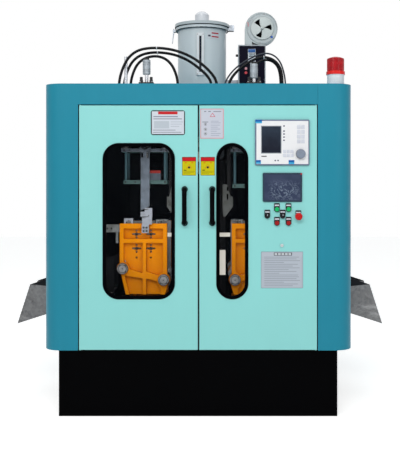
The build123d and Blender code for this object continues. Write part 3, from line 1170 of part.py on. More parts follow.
def make_blower():
    y = depth(BOX_FRONT + BLOWER_SETBACK, BOX_FRONT + BLOWER_SETBACK + BLOWER_W)
    housing = upright(scroll_outline(0), y)
    cavity = upright(scroll_outline(4), (y[0] + 4, y[1] - 4))
    mouth = block((OUTLET_X[0] + 4, OUTLET_X[1] - 4), (y[0] + 4, y[1] - 4), (BOX_Z[1] - 1, BOX_Z[1] + 20))
    housing = housing - cavity - mouth
    for turn in PETAL_TURNS:
        housing -= upright(petal(turn), (y[0] - 1, y[0] + 5))
    boss = rod_y(BLOWER_X, BLOWER_Z, (y[0] - 9, y[0] + 2), 4)
    housing += boss
    housing -= rod_y(BLOWER_X, BLOWER_Z, (y[1] - 5, y[1] + 1), MOTOR_SHAFT_R + 2)
    keep("blower_housing", housing)

    disc = rod_y(BLOWER_X, BLOWER_Z, (y[0] - 7, y[0] - SEAT_GAP), DAMPER_R)
    disc = fillet(disc.faces().sort_by(Axis.Y)[0].edges(), 2.5)
    for turn in PETAL_TURNS:
        disc -= upright(petal(turn), (y[0] - 8, y[0]))
    keep("damper_disc", disc - rod_y(BLOWER_X, BLOWER_Z, (y[0] - 8, y[0]), 4 + RUNNING))

    wheel_y = (y[0] + 14, y[1] - 12)
    wheel = rod_y(BLOWER_X, BLOWER_Z, (wheel_y[1] - 3, wheel_y[1]), 84)
    rim = rod_y(BLOWER_X, BLOWER_Z, (wheel_y[0], wheel_y[0] + 3), 84)
    rim -= rod_y(BLOWER_X, BLOWER_Z, (wheel_y[0] - 1, wheel_y[0] + 4), 66)
    wheel += rim
    wheel += rod_y(BLOWER_X, BLOWER_Z, (wheel_y[1] - 30, wheel_y[1]), 14)
    for step in range(16):
        blade = Pos(BLOWER_X, 0, BLOWER_Z) * Rot(0, step * 22.5, 0) * Pos(64, 0, 0) * Rot(0, 28, 0)
        wheel += blade * block((0, 18), (wheel_y[0], wheel_y[1]), (-1, 1))
    keep("impeller", wheel - rod_y(BLOWER_X, BLOWER_Z, (wheel_y[0], wheel_y[1] + 1), MOTOR_SHAFT_R + RUNNING))

    motor_y = (y[1], y[1] + 150)
    motor = rod_y(BLOWER_X, BLOWER_Z, (motor_y[0] + 8, motor_y[1]), 58)
    motor = fillet(motor.faces().sort_by(Axis.Y)[-1].edges(), 10)
    motor += rod_y(BLOWER_X, BLOWER_Z, (motor_y[0], motor_y[0] + 8), 72)
    for step in range(18):
        fin = block((-1.5, 1.5), (motor_y[0] + 16, motor_y[1] - 40), (54, 66))
        motor += Pos(BLOWER_X, 0, BLOWER_Z) * Rot(0, step * 20, 0) * fin
    keep("blower_motor", motor + rod_y(BLOWER_X, BLOWER_Z, (wheel_y[1] - 25, motor_y[0] + 2), MOTOR_SHAFT_R))

    box_y = depth(BOX_FRONT, BOX_FRONT + BOX_D)
    box = block(BOX_X, box_y, BOX_Z)
    box = fillet(box.edges().filter_by(Axis.Z), 5)
    box -= block((BOX_X[0] + 3, BOX_X[1] - 3), (box_y[0] + 3, box_y[1] - 3), (BOX_Z[0] + 3, BOX_Z[1] - 3))
    face = rounded_slot((BOX_X[0] + 7, BOX_X[1] - 7), (BOX_Z[0] + 7, BOX_Z[1] - 7), 3)
    box -= upright(face, (box_y[0] - 1, box_y[0] + 1.5))
    box -= block((OUTLET_X[0] + 4, OUTLET_X[1] - 4), (y[0] + 4, y[1] - 4), (BOX_Z[1] - 5, BOX_Z[1] + 1))
    box -= rod_x(HOPPER_Y, DUCT_Z, (BOX_X[0] - 1, BOX_X[0] + 5), DUCT_R - 3)
    keep("heater_box", box)
    face_y = box_y[0] + 1.5
    unit_x = (BOX_X[0] + 64, BOX_X[0] + 114)
    unit_z = (BOX_Z[1] - 124, BOX_Z[1] - 29)
    unit = upright(rounded_slot(unit_x, unit_z, 3), (face_y - 9, face_y))
    lamps = [rod_y(BOX_X[0] + 50, unit_z[0] - drop, (face_y - 12, face_y), 9) for drop in (34, 62)]
    knob = rod_x(box_y[0] + 40, BOX_Z[1] - 65, (BOX_X[0] - 16, BOX_X[0]), 8)
    keep("dryer_controls", unit, *lamps, knob)


MOTOR_SHAFT_R = 6.0


# Beacon

def make_beacon():
    x = BEACON_X
    y = FRONT + BEACON_DEPTH
    base_top = ROOF_TOP + 61
    flange_top = base_top + 19
    base = rod_z(x, y, (ROOF_TOP, base_top), BEACON_BASE_R)
    base += rod_z(x, y, (base_top, flange_top), BEACON_FLANGE_R)
    base = fillet(base.edges().filter_by(GeomType.CIRCLE).sort_by(Axis.Z)[-1], 2)
    spindle = rod_z(x, y, (flange_top, flange_top + 12), 8)
    bulb = rod_z(x, y, (flange_top + 11, flange_top + 36), 7)
    bulb += Pos(x, y, flange_top + 36) * Sphere(9)
    keep("beacon_base", fused([base, spindle, bulb]))

    shell_top = flange_top + 71
    outer = lens_form(LENS_R, flange_top, shell_top, 12)
    inner = lens_form(LENS_R - LENS_T, flange_top - 1, shell_top - LENS_T, 11)
    lens = Pos(x, y, 0) * (outer - inner)
    for step in range(LENS_RIBS):
        angle = math.radians(360 * step / LENS_RIBS)
        rib_x = x + (LENS_R - 0.7) * math.cos(angle)
        rib_y = y + (LENS_R - 0.7) * math.sin(angle)
        lens += rod_z(rib_x, rib_y, (flange_top + 6, shell_top - 4), 1.5)
    keep("beacon_lens", lens)

    turn_z = flange_top + SEAT_GAP
    bore = rod_z(x, y, (turn_z - 1, turn_z + 10), 8 + RUNNING)
    ring = rod_z(x, y, (turn_z, turn_z + 9), 30) - bore
    wall = rod_z(x, y, (turn_z, turn_z + 56), 33) - rod_z(x, y, (turn_z - 1, turn_z + 57), 31)
    wall = wall & block((x - 40, x + 40), (y + 8, y + 40), (turn_z, turn_z + 60))
    web = block((x - 26, x + 26), (y + 17, y + 19), (turn_z + 5, turn_z + 56))
    rim = rod_z(x, y, (turn_z, turn_z + 4), 33) - bore
    keep("beacon_reflector", fused([ring + rim, wall, web]))


def lens_form(r, foot, top, crown):
    """Drum with a domed crown, standing on its foot."""
    drum = rod_z(0, 0, (foot, top + crown + 1), r)
    ball = (r * r + crown * crown) / (2 * crown)
    return drum & Pos(0, 0, top + crown - ball) * Sphere(ball, rotation=(90, 0, 0))


# Hoses

HOSE_PLANE = FRONT + 565.0
POST_PLANE = FRONT + 590.0
LOW_PLANE = FRONT + 614.0
REAR_PLANE = FRONT + 642.0
GLAND_TOP = ROOF_TOP + GLAND_H

# Centre lines of the hoses, each from gland to gland over the roof
OUTER_HOSE = [(-503, HOSE_PLANE, GLAND_TOP), (-503, HOSE_PLANE, 1902), (-482, HOSE_PLANE, 1984),
              (-445, HOSE_PLANE, 2056), (-388, HOSE_PLANE, 2100), (-312, HOSE_PLANE, 2115),
              (-228, HOSE_PLANE, 2113), (-148, HOSE_PLANE, 2098), (-66, HOSE_PLANE, 2066),
              (4, HOSE_PLANE, 2020), (63, HOSE_PLANE, 1966), (104, HOSE_PLANE, 1906),
              (104, HOSE_PLANE, GLAND_TOP)]
INNER_HOSE = [(-478, LOW_PLANE, GLAND_TOP), (-478, LOW_PLANE, 1900), (-458, LOW_PLANE, 1975),
              (-425, LOW_PLANE, 2040), (-374, LOW_PLANE, 2079), (-306, LOW_PLANE, 2095),
              (-228, LOW_PLANE, 2093), (-152, LOW_PLANE, 2078), (-78, LOW_PLANE, 2046),
              (-16, LOW_PLANE, 2002), (38, LOW_PLANE, 1955), (70, LOW_PLANE, 1903),
              (70, LOW_PLANE, GLAND_TOP)]
SHORT_HOSE = [(-440, REAR_PLANE, GLAND_TOP), (-440, REAR_PLANE, 1902), (-424, REAR_PLANE, 1970),
              (-396, REAR_PLANE, 2028), (-350, REAR_PLANE, 2064), (-288, REAR_PLANE, 2078),
              (-230, REAR_PLANE, 2066), (-186, REAR_PLANE, 2030), (-159, REAR_PLANE, 1978),
              (-142, REAR_PLANE, 1914), (-142, REAR_PLANE, GLAND_TOP)]
RIGHT_HOSE = [(172, POST_PLANE, GLAND_TOP), (172, POST_PLANE, 1894), (198, POST_PLANE, 1944),
              (240, POST_PLANE, 1988), (290, POST_PLANE, 2024), (336, POST_PLANE, 2050),
              (382, POST_PLANE, 2062), (425, POST_PLANE, 2057), (463, POST_PLANE, 2036),
              (490, POST_PLANE, 2002), (503, POST_PLANE, 1956), (507, POST_PLANE, 1900),
              (507, POST_PLANE, GLAND_TOP)]
GREY_TUBE = [(146, POST_PLANE, GLAND_TOP), (146, POST_PLANE, 1892), (174, POST_PLANE, 1946),
             (216, POST_PLANE, 1994), (272, POST_PLANE, 2034), (334, POST_PLANE, 2068),
             (398, POST_PLANE, 2088), (452, POST_PLANE, 2076), (492, POST_PLANE, 2036),
             (514, POST_PLANE, 1976), (526, POST_PLANE, 1908), (526, POST_PLANE, GLAND_TOP)]
ARCH_HOSE = [(315, LOW_PLANE, GLAND_TOP), (315, LOW_PLANE, 1918), (322, LOW_PLANE, 1970),
             (336, LOW_PLANE, 2008), (359, LOW_PLANE, 2033), (390, LOW_PLANE, 2047),
             (424, LOW_PLANE, 2047), (455, LOW_PLANE, 2033), (478, LOW_PLANE, 2008),
             (491, LOW_PLANE, 1970), (497, LOW_PLANE, 1912), (497, LOW_PLANE, GLAND_TOP)]


def hose(points, r):
    """Tube along straight runs joined by arcs as large as the runs allow."""
    corners = [Vector(*point) for point in points]
    radii = []
    for before, here, after in zip(corners, corners[1:], corners[2:]):
        run_in = here - before
        run_out = after - here
        turn = math.radians(run_in.get_angle(run_out))
        radii.append(0.45 * min(run_in.length, run_out.length) / math.tan(turn / 2))
    path = FilletPolyline(*corners, radius=radii)
    tube = sweep(Plane(origin=path @ 0, z_dir=path % 0) * Circle(r), path=path)
    share = tube.volume / (math.pi * r * r * path.length)
    print(f"cord length {path.length:.0f} radii {[round(value) for value in radii]} volume share {share:.4f}")
    return tube


def make_hoses():
    routes = [(OUTER_HOSE, HOSE_R), (INNER_HOSE, HOSE_R), (SHORT_HOSE, HOSE_R), (RIGHT_HOSE, HOSE_R),
              (GREY_TUBE, GREY_TUBE_R), (ARCH_HOSE, ARCH_HOSE_R)]
    keep("air_hoses", *[hose(points, r) for points, r in routes])
    supports = []
    for points, r in routes:
        for x, y, _ in (points[0], points[-1]):
            supports.append(rod_z(x, y, (ROOF_TOP, GLAND_TOP), r + 4))
    post = rod_z(POST_X, POST_PLANE, (ROOF_TOP, POST_TOP), 10)
    post += rod_z(POST_X, POST_PLANE, (ROOF_TOP, ROOF_TOP + 6), 26)
    keep("hose_supports", *supports, post)


POST_X = -462.0
POST_TOP = 2064.0


os.makedirs("parts", exist_ok=True)
make_skin()
make_roof()
make_plinth()
make_chutes()
make_inner_frame()
make_doors()
make_controls()
make_clamps()
make_blow_stations()
make_extruder()
make_hopper()
make_blower()
make_beacon()
make_hoses()
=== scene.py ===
import math

import bpy
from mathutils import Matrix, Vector


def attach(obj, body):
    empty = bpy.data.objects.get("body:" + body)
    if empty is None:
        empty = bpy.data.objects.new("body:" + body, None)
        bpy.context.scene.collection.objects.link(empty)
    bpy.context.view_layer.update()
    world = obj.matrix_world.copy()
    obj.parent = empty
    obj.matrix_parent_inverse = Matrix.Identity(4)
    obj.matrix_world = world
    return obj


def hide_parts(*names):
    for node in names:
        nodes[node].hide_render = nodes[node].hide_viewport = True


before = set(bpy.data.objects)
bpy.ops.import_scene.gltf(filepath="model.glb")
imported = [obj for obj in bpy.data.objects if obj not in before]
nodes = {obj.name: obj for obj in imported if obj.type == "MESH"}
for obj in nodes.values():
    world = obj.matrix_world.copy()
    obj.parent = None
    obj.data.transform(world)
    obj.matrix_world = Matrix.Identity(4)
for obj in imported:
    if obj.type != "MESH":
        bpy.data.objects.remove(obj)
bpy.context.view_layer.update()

# Stage: a pale floor, soft light boxes overhead and at the front, and a weak one for the inside.
# Floor and world are white to the camera and a softer grey to everything that they light.


def clear_selection():
    bpy.ops.object.select_all(action="DESELECT")


def lamp(name, place, target, width, height, power, colour=(1, 1, 1)):
    """Area light at a place, aimed at a target."""
    clear_selection()
    bpy.ops.object.light_add(type="AREA", location=place)
    light = bpy.context.object
    light.name = name
    aim = Vector(target) - Vector(place)
    light.rotation_euler = aim.to_track_quat("-Z", "Y").to_euler()
    light.data.shape = "RECTANGLE"
    light.data.size = width
    light.data.size_y = height
    light.data.energy = power
    light.data.color = colour
    return light


def feed(tree, source, socket):
    """Join a socket to another node's output, or give it a constant."""
    if hasattr(source, "links"):
        tree.links.new(source, socket)
    elif source is not None:
        socket.default_value = source


def add(tree, kind, sources=None, **settings):
    """New node with its properties, and its sockets fed by name or number."""
    made = tree.nodes.new(kind)
    for key, value in settings.items():
        setattr(made, key, value)
    for key, source in (sources or {}).items():
        feed(tree, source, made.inputs[key])
    return made


def math_node(tree, operation, first, second=None):
    """Result of one operation on sockets or numbers."""
    return add(tree, "ShaderNodeMath", {0: first, 1: second}, operation=operation).outputs[0]


def blend(tree, factor, first, second, mode="MIX"):
    """Mix of two colours."""
    made = add(tree, "ShaderNodeMix", {0: factor, 6: first, 7: second}, data_type="RGBA", blend_type=mode)
    return made.outputs[2]


def new_material(name, **constants):
    """Node material with constants on its shader; gives the material, its tree and its shader."""
    material = bpy.data.materials.new(name)
    material.use_nodes = True
    tree = material.node_tree
    shader = tree.nodes["Principled BSDF"]
    for key, value in constants.items():
        shader.inputs[key.replace("_", " ")].default_value = value
    return material, tree, shader


def seen_directly(tree):
    """Mask of the rays that show a backdrop: from the camera, off metal and through glass."""
    path = add(tree, "ShaderNodeLightPath").outputs
    mask = math_node(tree, "MAXIMUM", path["Is Camera Ray"], path["Is Glossy Ray"])
    return math_node(tree, "MAXIMUM", mask, path["Is Transmission Ray"])


clear_selection()
bpy.ops.mesh.primitive_plane_add(size=30, location=(0, 0, -0.002))
floor = bpy.context.object
floor.name = "floor"
floor_finish, floor_tree, floor_shader = new_material(
    "floor_finish", Base_Color=(0.93, 0.93, 0.925, 1), Roughness=0.7, Specular_IOR_Level=0.1,
    Emission_Color=(1, 0.998, 0.992, 1))
floor_glow = math_node(floor_tree, "MULTIPLY", seen_directly(floor_tree), 0.62)
feed(floor_tree, floor_glow, floor_shader.inputs["Emission Strength"])
floor.data.materials.append(floor_finish)

lamp("front_light", (-0.1, -6.0, 4.3), (0, -0.9, 0.9), 3.2, 1.4, 112, (1, 0.99, 0.97))
lamp("key_light", (-3.0, -5.0, 3.8), (0, -0.6, 1.1), 2.4, 2.4, 46, (1, 0.985, 0.96))
lamp("fill_light", (3.6, -5.2, 2.6), (0.2, -0.6, 1.1), 2.0, 2.4, 28, (0.96, 0.98, 1))
lamp("top_light", (0, -0.4, 5.6), (0, 0, 1.8), 4.5, 4.5, 60)
inner_light = lamp("inner_light", (0, -0.915, 1.05), (0, 0, 1.05), 1.2, 0.8, 3.0, (1, 0.97, 0.92))
inner_light.visible_camera = False

world = bpy.data.worlds.new("studio")
bpy.context.scene.world = world
world.use_nodes = True
sky_tree = world.node_tree
sky = blend(sky_tree, seen_directly(sky_tree), (0.31, 0.325, 0.335, 1), (1, 1, 1, 1))
feed(sky_tree, sky, sky_tree.nodes["Background"].inputs["Color"])

bpy.context.scene.view_settings.view_transform = "Standard"

clear_selection()
bpy.ops.object.camera_add(location=(0.1203, -5.450, 1.264), rotation=(math.radians(90), 0, 0))
camera = bpy.context.object
camera.data.sensor_width = 36
camera.data.lens = 65.67
camera.data.shift_x = -20 / 451
camera.data.shift_y = -39.5 / 451
bpy.context.scene.camera = camera

# Plinth: a welded base of black-painted plate with a deck on top, scuffed along its lower edge.
# Its paint comes from two shared effects: a sprayed film with worn edges, and dirt with painted shade in the
# corners.


def screen(red, green, blue):
    """Linear colour of an 8-bit screen colour."""
    channels = []
    for value in (red, green, blue):
        share = value / 255
        channels.append(share / 12.92 if share <= 0.04045 else ((share + 0.055) / 1.055) ** 2.4)
    return (*channels, 1)


def product(tree, first, second):
    """One socket or number times another."""
    return math_node(tree, "MULTIPLY", first, second)


def band(tree, value, low, high, to_low=0.0, to_high=1.0):
    """Value mapped from one range to another and held at the ends."""
    return add(tree, "ShaderNodeMapRange", {"Value": value, "From Min": low, "From Max": high,
                                            "To Min": to_low, "To Max": to_high}).outputs["Result"]


def own_place(tree):
    """Coordinates of the part's own frame."""
    return add(tree, "ShaderNodeTexCoord").outputs["Object"]


def noise(tree, coords, scale, detail=3.0, rough=0.5, stretch=None):
    """Noise over coordinates, drawn out along the axes that stretch makes small."""
    if stretch is not None:
        coords = add(tree, "ShaderNodeMapping", {"Vector": coords, "Scale": stretch}).outputs["Vector"]
    return add(tree, "ShaderNodeTexNoise", {"Vector": coords, "Scale": scale, "Detail": detail,
                                            "Roughness": rough}).outputs["Fac"]


def toned(tree, colour, value):
    """Colour made lighter or darker by a value that varies about one."""
    return add(tree, "ShaderNodeHueSaturation", {"Color": colour, "Value": value}).outputs["Color"]


def emboss(tree, height, depth, strength, normal=None):
    """Normal of a surface that a height raises by up to depth."""
    return add(tree, "ShaderNodeBump", {"Height": height, "Distance": depth, "Strength": strength,
                                        "Normal": normal}).outputs["Normal"]


def finish(tree, node, colour, rough, normal):
    """Feed a shader, or the outputs of a shared effect."""
    for key, source in ((0, colour), ("Roughness", rough), ("Normal", normal)):
        feed(tree, source, node.inputs[key])


def new_group(name, inputs, outputs=(("Colour", "Color"), ("Roughness", "Float"), ("Normal", "Vector"))):
    """Shared effect with named sockets; gives its tree, its input sockets and its output node."""
    tree = bpy.data.node_groups.new(name, "ShaderNodeTree")
    for label, value in inputs.items():
        kind = "Float" if isinstance(value, float) else "Color" if len(value) == 4 else "Vector"
        socket = tree.interface.new_socket(label, in_out="INPUT", socket_type=f"NodeSocket{kind}")
        socket.default_value = value
    for label, kind in outputs:
        tree.interface.new_socket(label, in_out="OUTPUT", socket_type=f"NodeSocket{kind}")
    return tree, tree.nodes.new("NodeGroupInput").outputs, tree.nodes.new("NodeGroupOutput")


def edge_mask(tree, radius):
    """Bevelled normal of the surface and a mask of its edges."""
    bevelled = add(tree, "ShaderNodeBevel", {"Radius": radius}, samples=4).outputs["Normal"]
    facing = add(tree, "ShaderNodeNewGeometry").outputs["Normal"]
    dot = add(tree, "ShaderNodeVectorMath", {0: bevelled, 1: facing}, operation="DOT_PRODUCT")
    turned = math_node(tree, "SUBTRACT", 1.0, dot.outputs["Value"])
    return bevelled, band(tree, turned, 0.01, 0.16)


def make_film():
    """Sprayed paint: soft mottle, runs, orange peel and bright worn edges."""
    tree, given, gives = new_group("sprayed film", {
        "Colour": (0.5, 0.5, 0.5, 1), "Chip": (0.3, 0.3, 0.3, 1), "Mottle": 0.08, "Wear": 0.4,
        "Peel": 0.15, "Gloss": 0.35, "Grain": 320.0})
    coords = own_place(tree)
    broad = noise(tree, coords, 2.6, 4, 0.55)
    runs = noise(tree, coords, 1.0, 5, 0.6, (24, 24, 1.7))
    shade = math_node(tree, "SUBTRACT", math_node(tree, "ADD", broad, product(tree, runs, 0.6)), 0.8)
    shade = product(tree, shade, given["Mottle"])
    tone = toned(tree, given["Colour"], math_node(tree, "ADD", 1.0, shade))
    normal, edges = edge_mask(tree, 0.0022)
    flecks = band(tree, noise(tree, coords, 55, 6, 0.7), 0.5, 0.62)
    chips = product(tree, product(tree, edges, flecks), given["Wear"])
    smears = band(tree, noise(tree, coords, 9, 5, 0.65), 0.3, 0.75, -0.05, 0.14)
    rough = math_node(tree, "ADD", given["Gloss"], smears)
    finish(tree, gives, blend(tree, chips, tone, given["Chip"]),
           math_node(tree, "ADD", rough, product(tree, chips, 0.25)),
           emboss(tree, noise(tree, coords, given["Grain"], 2), 0.0006, given["Peel"], normal))
    return tree


def make_corner_shade():
    """Mask of painted shade in corners and along joints, where dirt also gathers."""
    tree, given, gives = new_group("painted corner shade and dirt", {"Reach": 0.03, "Amount": 0.5}, [("Mask", "Float")])
    # Ambient occlusion darkens the corners as painted shade, broken into patches like dirt.
    shut = add(tree, "ShaderNodeAmbientOcclusion", {"Distance": given["Reach"]}, samples=6)
    corner = math_node(tree, "SUBTRACT", 1.0, shut.outputs["AO"])
    patchy = band(tree, noise(tree, own_place(tree), 38, 6, 0.7), 0.25, 0.7, 0.35, 1.0)
    feed(tree, product(tree, product(tree, corner, patchy), given["Amount"]), gives.inputs["Mask"])
    return tree


FILM = make_film()
CORNER_SHADE = make_corner_shade()


def effect(tree, group, **sources):
    """A shared effect placed in a material; gives its output sockets."""
    return add(tree, "ShaderNodeGroup", sources, node_tree=group).outputs


def shaded_and_soiled(tree, colour, reach, amount, dirt_and_shade):
    """Colour darkened in the corners by painted shade mixed with dirt."""
    return blend(tree, effect(tree, CORNER_SHADE, Reach=reach, Amount=amount)["Mask"], colour, dirt_and_shade)


def film_paint(name, colour, chip, mottle=0.08, wear=0.35, peel=0.12, gloss=0.34, grain=320.0,
               dirt_and_shade=(0.03, 0.028, 0.025, 1), soil_and_shade=0.45, reach=0.03, **constants):
    """Painted metal. Its paint and its worn edges are screen colours."""
    constants.setdefault("Specular_IOR_Level", 0.25)
    material, tree, shader = new_material(name, **constants)
    film = effect(tree, FILM, Colour=screen(*colour), Chip=screen(*chip), Mottle=mottle, Wear=wear,
                  Peel=peel, Gloss=gloss, Grain=grain)
    finish(tree, shader, shaded_and_soiled(tree, film["Colour"], reach, soil_and_shade, dirt_and_shade), film["Roughness"], film["Normal"])
    return material


def dress(node, base, *others):
    """Give a CAD node its finish, and other finishes to the faces that their tests pick."""
    mesh = nodes[node].data
    mesh.materials.clear()
    for material in [base] + [pair[0] for pair in others]:
        mesh.materials.append(material)
    for face in mesh.polygons:
        face.material_index = 0
        for index, (_, test) in enumerate(others, 1):
            if test(face.center, face.normal):
                face.material_index = index


DECK = 0.363  # height of the deck
plinth_paint = film_paint("plinth_paint", (2, 2, 3), (26, 25, 25), mottle=0.4, wear=0.25, peel=0.2,
                          gloss=0.42, soil_and_shade=0.25, dirt_and_shade=(0.004, 0.0038, 0.0035, 1), Specular_IOR_Level=0.02)
deck_paint = film_paint("deck_paint", (16, 18, 22), (60, 60, 60), mottle=0.4, gloss=0.55,
                        Specular_IOR_Level=0.15)
dress("plinth", plinth_paint, (deck_paint, lambda c, n: c.z > DECK))

# Inner frame: square tube posts and rails in dark paint, welded, seen only through the windows.
# A stop post behind the door seam carries a white bar and a white plate.

frame_paint = film_paint("frame_paint", (11, 12, 17), (48, 48, 50), mottle=0.5, gloss=0.5, soil_and_shade=0.3,
                         Specular_IOR_Level=0.18)
stop_white = film_paint("stop_white", (176, 174, 168), (120, 120, 120), mottle=0.3, gloss=0.5)


def on_stop(c, n):
    """Faces of the bar and the plate on the stop post."""
    front = -0.8885 < c.y < -0.8806 and abs(c.x) < 0.19
    return front and (0.76 < c.z < 0.91 or 0.982 < c.z < 1.01)


dress("inner_frame", frame_paint, (stop_white, on_stop))

# Cabinet skin: folded steel sheet in satin blue-green paint with rounded front corners.
# The insides of the panels are painted near-black as painted shade, and small screws hold the sheets at the
# sides and the back.

teal_paint = film_paint("teal_paint", (33, 139, 164), (110, 166, 176), mottle=0.12, wear=0.3, peel=0.1,
                        gloss=0.36, soil_and_shade=0.5, reach=0.02, Specular_IOR_Level=0.2)
# Near-black inside of the sheets: painted shade inside the cabinet.
inside_shade_paint = film_paint("inside_shade_paint", (5, 6, 9), (32, 34, 36), mottle=0.3, gloss=0.6, soil_and_shade=0.2,
                          Specular_IOR_Level=0.05)


def inside_cabinet(c, n):
    """Faces of the sheets that look into the cabinet."""
    if abs(n.z) > 0.7:
        return n.z < 0 and c.z > 1.7 and c.y > -0.90 and abs(c.x) < 0.84
    reach = Vector((c.x, c.y * 0.9, 0))
    return reach.dot(Vector((n.x, n.y, 0))) < 0 and c.y > -0.949 and c.z < 1.822


for sheet in ("front_fascia", "right_corner_panel", "cabinet_panels"):
    dress(sheet, teal_paint, (inside_shade_paint, inside_cabinet))
dress("roof_panel", teal_paint, (inside_shade_paint, lambda c, n: n.z < -0.5))


def freeze(name, bevel=0.0, segments=2):
    """Freeze the active shape in the part's frame, round its edges and name it."""
    obj = bpy.context.object
    bpy.ops.object.transform_apply(location=True, rotation=True, scale=True)
    if bevel:
        rounding = obj.modifiers.new("rounding", "BEVEL")
        rounding.width = bevel
        rounding.segments = segments
        rounding.limit_method = "ANGLE"
        bpy.ops.object.modifier_apply(modifier="rounding")
    bpy.ops.object.shade_smooth_by_angle(angle=math.radians(40))
    obj.name = name
    obj.data.name = name
    return obj


def slab(name, x, y, z, bevel=0.001):
    """Box between three pairs of limits."""
    clear_selection()
    middle = [(pair[0] + pair[1]) / 2 for pair in (x, y, z)]
    bpy.ops.mesh.primitive_cube_add(size=1, location=middle)
    bpy.context.object.scale = [pair[1] - pair[0] for pair in (x, y, z)]
    return freeze(name, bevel)


def round_bar(name, start, end, radius, bevel=0.0006, vertices=32, tip=None):
    """Round bar between two points, or a cone where tip gives its end radius."""
    clear_selection()
    start = Vector(start)
    along = Vector(end) - start
    shape = {"vertices": vertices, "depth": along.length, "location": start + along / 2,
             "rotation": along.to_track_quat("Z", "Y").to_euler()}
    if tip is None:
        bpy.ops.mesh.primitive_cylinder_add(radius=radius, **shape)
    else:
        bpy.ops.mesh.primitive_cone_add(radius1=radius, radius2=tip, **shape)
    return freeze(name, bevel)


def loop(name, centre, along, ring, wire, squash=1.0):
    """Ring about an axis."""
    clear_selection()
    turn = Vector(along).to_track_quat("Z", "Y").to_euler()
    bpy.ops.mesh.primitive_torus_add(location=centre, rotation=turn, major_radius=ring, minor_radius=wire,
                                     major_segments=36, minor_segments=10)
    bpy.context.object.scale = (1, 1, squash)
    return freeze(name)


def wear_on(obj, body, material):
    """Give a finished piece its material and the body that it moves with."""
    obj.data.materials.clear()
    obj.data.materials.append(material)
    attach(obj, body)
    return obj


def joined(name, parts, body, material):
    """One finished piece from several parts."""
    clear_selection()
    for part in parts:
        part.select_set(True)
    bpy.context.view_layer.objects.active = parts[0]
    bpy.ops.object.join()
    bpy.ops.object.transform_apply(location=True, rotation=True, scale=True)
    whole = bpy.context.object
    whole.name = name
    whole.data.name = name
    return wear_on(whole, body, material)


def select_only(mesh, chosen):
    """Leave just the chosen faces or edges selected."""
    for elements in (mesh.vertices, mesh.edges, mesh.polygons):
        for element in elements:
            element.select = False
    for element in chosen:
        element.select = True


def recess(obj, facing, inset, depth):
    """Sink a socket into the end of a screw that looks along facing."""
    ends = [face for face in obj.data.polygons if face.normal.dot(facing) > 0.99]
    select_only(obj.data, [max(ends, key=lambda face: face.area)])
    clear_selection()
    obj.select_set(True)
    bpy.context.view_layer.objects.active = obj
    bpy.ops.object.mode_set(mode="EDIT")
    bpy.ops.mesh.select_mode(type="FACE")
    bpy.ops.mesh.inset(thickness=inset)
    bpy.ops.mesh.extrude_region_move(TRANSFORM_OT_translate={"value": tuple(-depth * v for v in facing)})
    bpy.ops.object.mode_set(mode="OBJECT")


def screws(name, spots, facing, radius, height, body, material, socket=0.45):
    """Set of screw heads that stand on a surface and look along facing."""
    facing = Vector(facing)
    first = round_bar(name, (0, 0, 0), facing * height, radius, radius * 0.12, 20)
    recess(first, facing, radius * socket, height * 0.55)
    parts = []
    for spot in spots:
        copy = first.copy()
        copy.data = first.data.copy()
        copy.location = spot
        bpy.context.collection.objects.link(copy)
        parts.append(copy)
    bpy.data.objects.remove(first)
    return joined(name, parts, body, material)


def make_brushed():
    """Bare metal: fine lines along one way, smudges, scratches and edges lightened as a painted highlight.
    """
    tree, given, gives = new_group("worked metal", {
        "Colour": (0.6, 0.6, 0.6, 1), "Lines": (400, 8, 8), "Depth": 0.15, "Gloss": 0.3, "Stain": 0.25})
    coords = own_place(tree)
    lines = noise(tree, coords, 1.0, 5, 0.65, given["Lines"])
    clouds = noise(tree, coords, 26, 6, 0.68)
    stain = product(tree, band(tree, clouds, 0.42, 0.72), given["Stain"])
    dark = blend(tree, 1.0, given["Colour"], (0.42, 0.38, 0.33, 1), "MULTIPLY")
    tone = toned(tree, blend(tree, stain, given["Colour"], dark), band(tree, lines, 0.3, 0.7, 0.9, 1.08))
    normal, edges = edge_mask(tree, 0.0012)
    # The edges are blended towards a pale grey as a painted highlight.
    finish(tree, gives, blend(tree, product(tree, edges, 0.35), tone, (0.85, 0.86, 0.87, 1)),
           math_node(tree, "ADD", given["Gloss"], band(tree, clouds, 0.3, 0.7, -0.06, 0.14)),
           emboss(tree, lines, 0.0004, given["Depth"], normal))
    return tree


BRUSHED = make_brushed()


def bare_metal(name, colour, lines=(300, 300, 14), depth=0.12, gloss=0.32, stain=0.3, soil_and_shade=0.4,
               metallic=1.0):
    """Unpainted metal, worked in fine lines that lie across the large numbers."""
    material, tree, shader = new_material(name, Metallic=metallic)
    worked = effect(tree, BRUSHED, Colour=screen(*colour), Lines=lines, Depth=depth, Gloss=gloss,
                    Stain=stain)
    # Corners of the metal are darkened by painted shade with dirt.
    shaded_dirty = shaded_and_soiled(tree, worked["Colour"], 0.02, soil_and_shade, (0.035, 0.03, 0.026, 1))
    finish(tree, shader, shaded_dirty, worked["Roughness"], worked["Normal"])
    return material


REAR, SIDE = 0.95, 0.85  # outer faces of the rear and side sheets
SIDES = ((-1, "left"), (1, "right"))
screw_steel = bare_metal("screw_steel", (172, 174, 178), lines=(90, 90, 90), gloss=0.3, stain=0.4)
rear_spots = [(x, REAR, z) for x in (-0.82, -0.41, 0.41, 0.82) for z in (0.40, 1.00, 1.50, 1.79)]
screws("rear_screws", rear_spots, (0, 1, 0), 0.007, 0.0015, "cabinet", screw_steel)
for side, label in SIDES:
    spots = [(side * (SIDE + 0.0003), y, z) for y in (-0.80, 0.0, 0.46, 0.92) for z in (0.40, 1.10, 1.79)]
    screws(f"{label}_side_screws", spots, (side, 0, 0), 0.007, 0.004, "cabinet", screw_steel)

